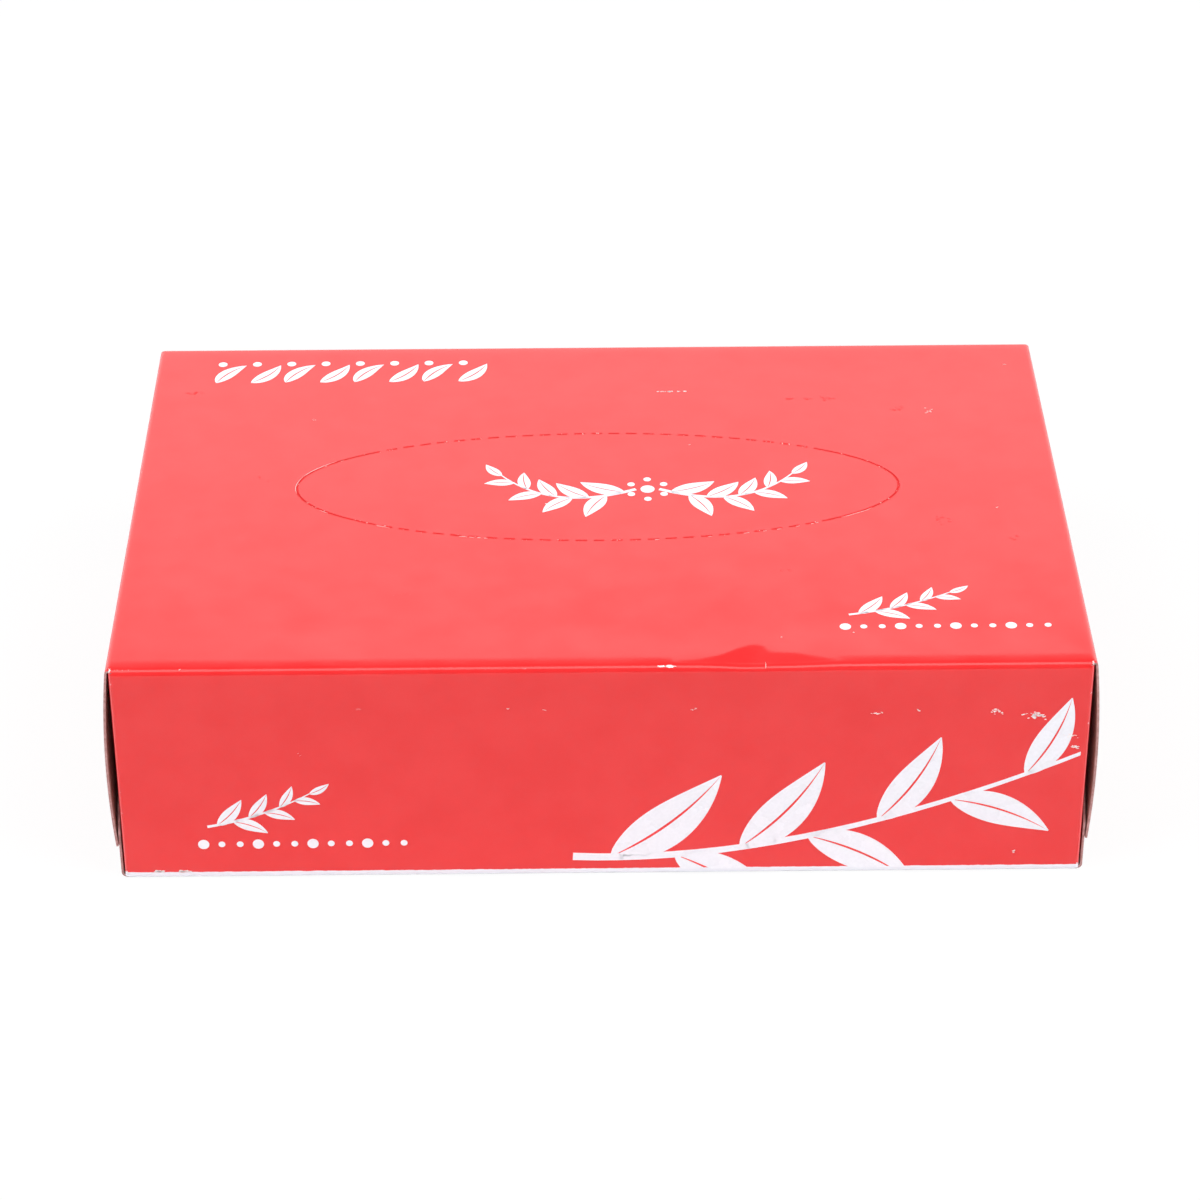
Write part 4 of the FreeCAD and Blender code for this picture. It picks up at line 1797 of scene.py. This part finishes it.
class Contents:
    """What the sealed carton holds: the stack of tissues."""

    SIDE_ROOM = 2.5 * MM
    BASE_ROOM = 0.3 * MM
    TOP_ROOM = 1.2 * MM
    ROUNDING = 1.5 * MM
    ROUNDING_SEGMENTS = 3

    def __init__(self, sizes: CartonSizes) -> None:
        """Takes the carton's sizes."""
        self.sizes = sizes

    def build_stack(self) -> bpy.types.Object:
        """Builds the stack of folded tissues as a block with soft edges.

        Returns:
            The stack.
        """
        sizes = self.sizes
        side = sizes.half_depth - sizes.board - self.SIDE_ROOM
        end = sizes.end - sizes.board - self.SIDE_ROOM
        low = Vector((-end, -side, sizes.board + self.BASE_ROOM))
        high = Vector((end, side, sizes.height - sizes.board - self.TOP_ROOM))
        block = bmesh.new()
        bmesh.ops.create_cube(block, size=1)
        bmesh.ops.scale(block, vec=high - low, verts=block.verts[:])
        bmesh.ops.translate(block, vec=(low + high) / 2, verts=block.verts[:])
        bmesh.ops.bevel(block, geom=block.edges[:], offset=self.ROUNDING,
                        segments=self.ROUNDING_SEGMENTS, affect="EDGES", profile=0.5,
                        material=-1)
        return finish_mesh("tissue_stack", block)


@dataclass(frozen=True)
class View:
    """The photograph's camera, found from the box's corners."""

    place: Triple = (-6.074 * MM, -683.990 * MM, 466.533 * MM)
    pitch_down: float = math.radians(32.85)
    yaw: float = math.radians(0.534)
    roll: float = math.radians(-0.19)
    focal_pixels: float = 3776.0
    frame_pixels: float = 1200.0
    sensor: float = 36.0
    nearest: float = 0.05
    farthest: float = 20.0

    def make(self) -> bpy.types.Object:
        """Makes the camera and gives it to the scene.

        Returns:
            The camera.
        """
        data = bpy.data.cameras.new("camera")
        data.sensor_fit = "HORIZONTAL"
        data.sensor_width = self.sensor
        data.lens = self.focal_pixels / self.frame_pixels * self.sensor
        data.clip_start, data.clip_end = self.nearest, self.farthest
        camera = bpy.data.objects.new("camera", data)
        turn = (Matrix.Rotation(-self.yaw, 4, "Z")
                @ Matrix.Rotation(math.pi / 2 - self.pitch_down, 4, "X")
                @ Matrix.Rotation(self.roll, 4, "Z"))
        camera.matrix_world = Matrix.Translation(self.place) @ turn
        bpy.context.scene.collection.objects.link(camera)
        bpy.context.scene.camera = camera
        return camera


# Power of an area lamp over its radiance and its area
WATTS_PER_RADIANCE = 4.0


@dataclass(frozen=True)
class Softbox:
    """A soft lamp: a lit rectangle aimed at a point."""

    name: str
    place: Triple
    aim: Triple
    width: float
    height: float
    radiance: float

    def make(self) -> bpy.types.Object:
        """Makes the lamp, with its power worked out from its radiance.

        Returns:
            The lamp.
        """
        data = bpy.data.lights.new(self.name, "AREA")
        data.shape = "RECTANGLE"
        data.size, data.size_y = self.width, self.height
        data.energy = self.radiance * WATTS_PER_RADIANCE * self.width * self.height
        lamp = bpy.data.objects.new(self.name, data)
        lamp.location = self.place
        way = Vector(self.aim) - Vector(self.place)
        lamp.rotation_euler = way.to_track_quat("-Z", "Y").to_euler()
        bpy.context.scene.collection.objects.link(lamp)
        return lamp


class Studio:
    """Floor, sky and lamps of a plain white studio."""

    SKY = 0.24
    FLOOR_REACH = 0.9
    FLOOR_GLOW = 0.92
    FLOOR_COLOUR = (0.86, 0.86, 0.86, 1)
    FLOOR_ROUGHNESS = 0.95
    LAMPS = (
        Softbox("softbox_behind", (0, 2.1, 0.735), (0, 0, 0.05), 4.2, 1.40, 1.08),
        Softbox("softbox_front", (0, -0.60, 1.60), (0, 0, 0.05), 1.9, 0.9, 2.2),
        Softbox("softbox_left", (-1.35, -0.55, 1.5), (0, 0, 0.02), 1.3, 1.2, 3.45),
        Softbox("softbox_right", (1.35, -0.55, 1.5), (0, 0, 0.02), 1.3, 1.2, 3.45),
    )

    def build_floor(self) -> bpy.types.Object:
        """Makes the pale floor under the box.

        Returns:
            The floor.
        """
        plane = bmesh.new()
        bmesh.ops.create_grid(plane, x_segments=2, y_segments=2, size=self.FLOOR_REACH)
        floor = finish_mesh("floor", plane)
        paper = Material("floor_paper")
        paper.set("Base Color", self.FLOOR_COLOUR)
        paper.set("Roughness", self.FLOOR_ROUGHNESS)
        glow = paper.node("ShaderNodeEmission")
        mixed = paper.node("ShaderNodeMixShader")
        seen = paper.node("ShaderNodeLightPath").outputs["Is Camera Ray"]
        paper.put(mixed.inputs[0], paper.math("MULTIPLY", seen, self.FLOOR_GLOW))
        paper.put(mixed.inputs[1], paper.surface.outputs[0])
        paper.put(mixed.inputs[2], glow.outputs[0])
        output = paper.tree.nodes["Material Output"]
        paper.put(output.inputs["Surface"], mixed.outputs[0])
        floor.data.materials.append(paper.material)
        return floor

    def light_world(self) -> None:
        """Lights the scene from all round, with a white background."""
        world = bpy.data.worlds.new("studio")
        bpy.context.scene.world = world
        world.use_nodes = True
        tree = world.node_tree
        background = tree.nodes["Background"]
        background.inputs["Color"].default_value = (1, 1, 1, 1)
        path = tree.nodes.new("ShaderNodeLightPath")
        seen = tree.nodes.new("ShaderNodeMath")
        seen.operation = "MAXIMUM"
        tree.links.new(path.outputs["Is Camera Ray"], seen.inputs[0])
        tree.links.new(path.outputs["Is Transmission Ray"], seen.inputs[1])
        strength = tree.nodes.new("ShaderNodeMapRange")
        strength.inputs["To Min"].default_value = self.SKY
        strength.inputs["To Max"].default_value = 1.0
        tree.links.new(seen.outputs[0], strength.inputs["Value"])
        tree.links.new(strength.outputs[0], background.inputs["Strength"])

    def build(self) -> None:
        """Makes floor, sky and lamps."""
        self.build_floor()
        self.light_world()
        for lamp in self.LAMPS:
            lamp.make()


def add_piece(thing: bpy.types.Object,
              materials: list[bpy.types.Material]) -> bpy.types.Object:
    """Dresses a piece and lets it ride on the box.

    Args:
        thing: the piece.
        materials: its materials, in the order of its faces' numbers.

    Returns:
        The same piece.
    """
    for material in materials:
        thing.data.materials.append(material)
    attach(thing, BODY)
    log.info("%s: %d faces", thing.name, len(thing.data.polygons))
    return thing


def main() -> None:
    """Builds camera, studio and every piece of the box."""
    logging.basicConfig(level=logging.INFO, format="%(name)s %(message)s", stream=sys.stdout)
    View().make()
    Studio().build()
    sizes = CartonSizes.from_frame()
    plan = FoldPlan(sizes)
    board = VarnishedBoard().make(sizes)
    ink = WhiteInk().make()
    sides = {
        Face.PRINTED: board, Face.INNER: INNER_BOARD_RED_LIT.make(), Face.CUT_EDGE: CUT_BOARD_SHADED.make(),
        Face.PERFORATION: SLIT_BOARD_SHADED.make(),
    }
    oval = Perforation()
    carton = add_piece(Carton(plan, oval).build(), [sides[face] for face in Face])
    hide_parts(CARTON_NODE)
    artwork = Print(plan)
    for printed in (artwork.build_top(), artwork.build_front()):
        add_piece(printed, [ink])
    # The rubbed coating also colours the painted highlights along the oval's rim
    rubbed_and_glint = RubbedBoardAndGlint().make()
    wear_and_sheen = WearAndGlints(plan)
    for flecks in wear_and_sheen.build_flecks(oval):
        add_piece(flecks, [rubbed_and_glint])
    add_piece(wear_and_sheen.build_dull_marks(), [DULL_RED.make()])
    add_piece(Contents(sizes).build_stack(), [TISSUE.make()])
    bpy.context.scene.view_settings.view_transform = "Standard"


if __name__ == "__main__":
    main()
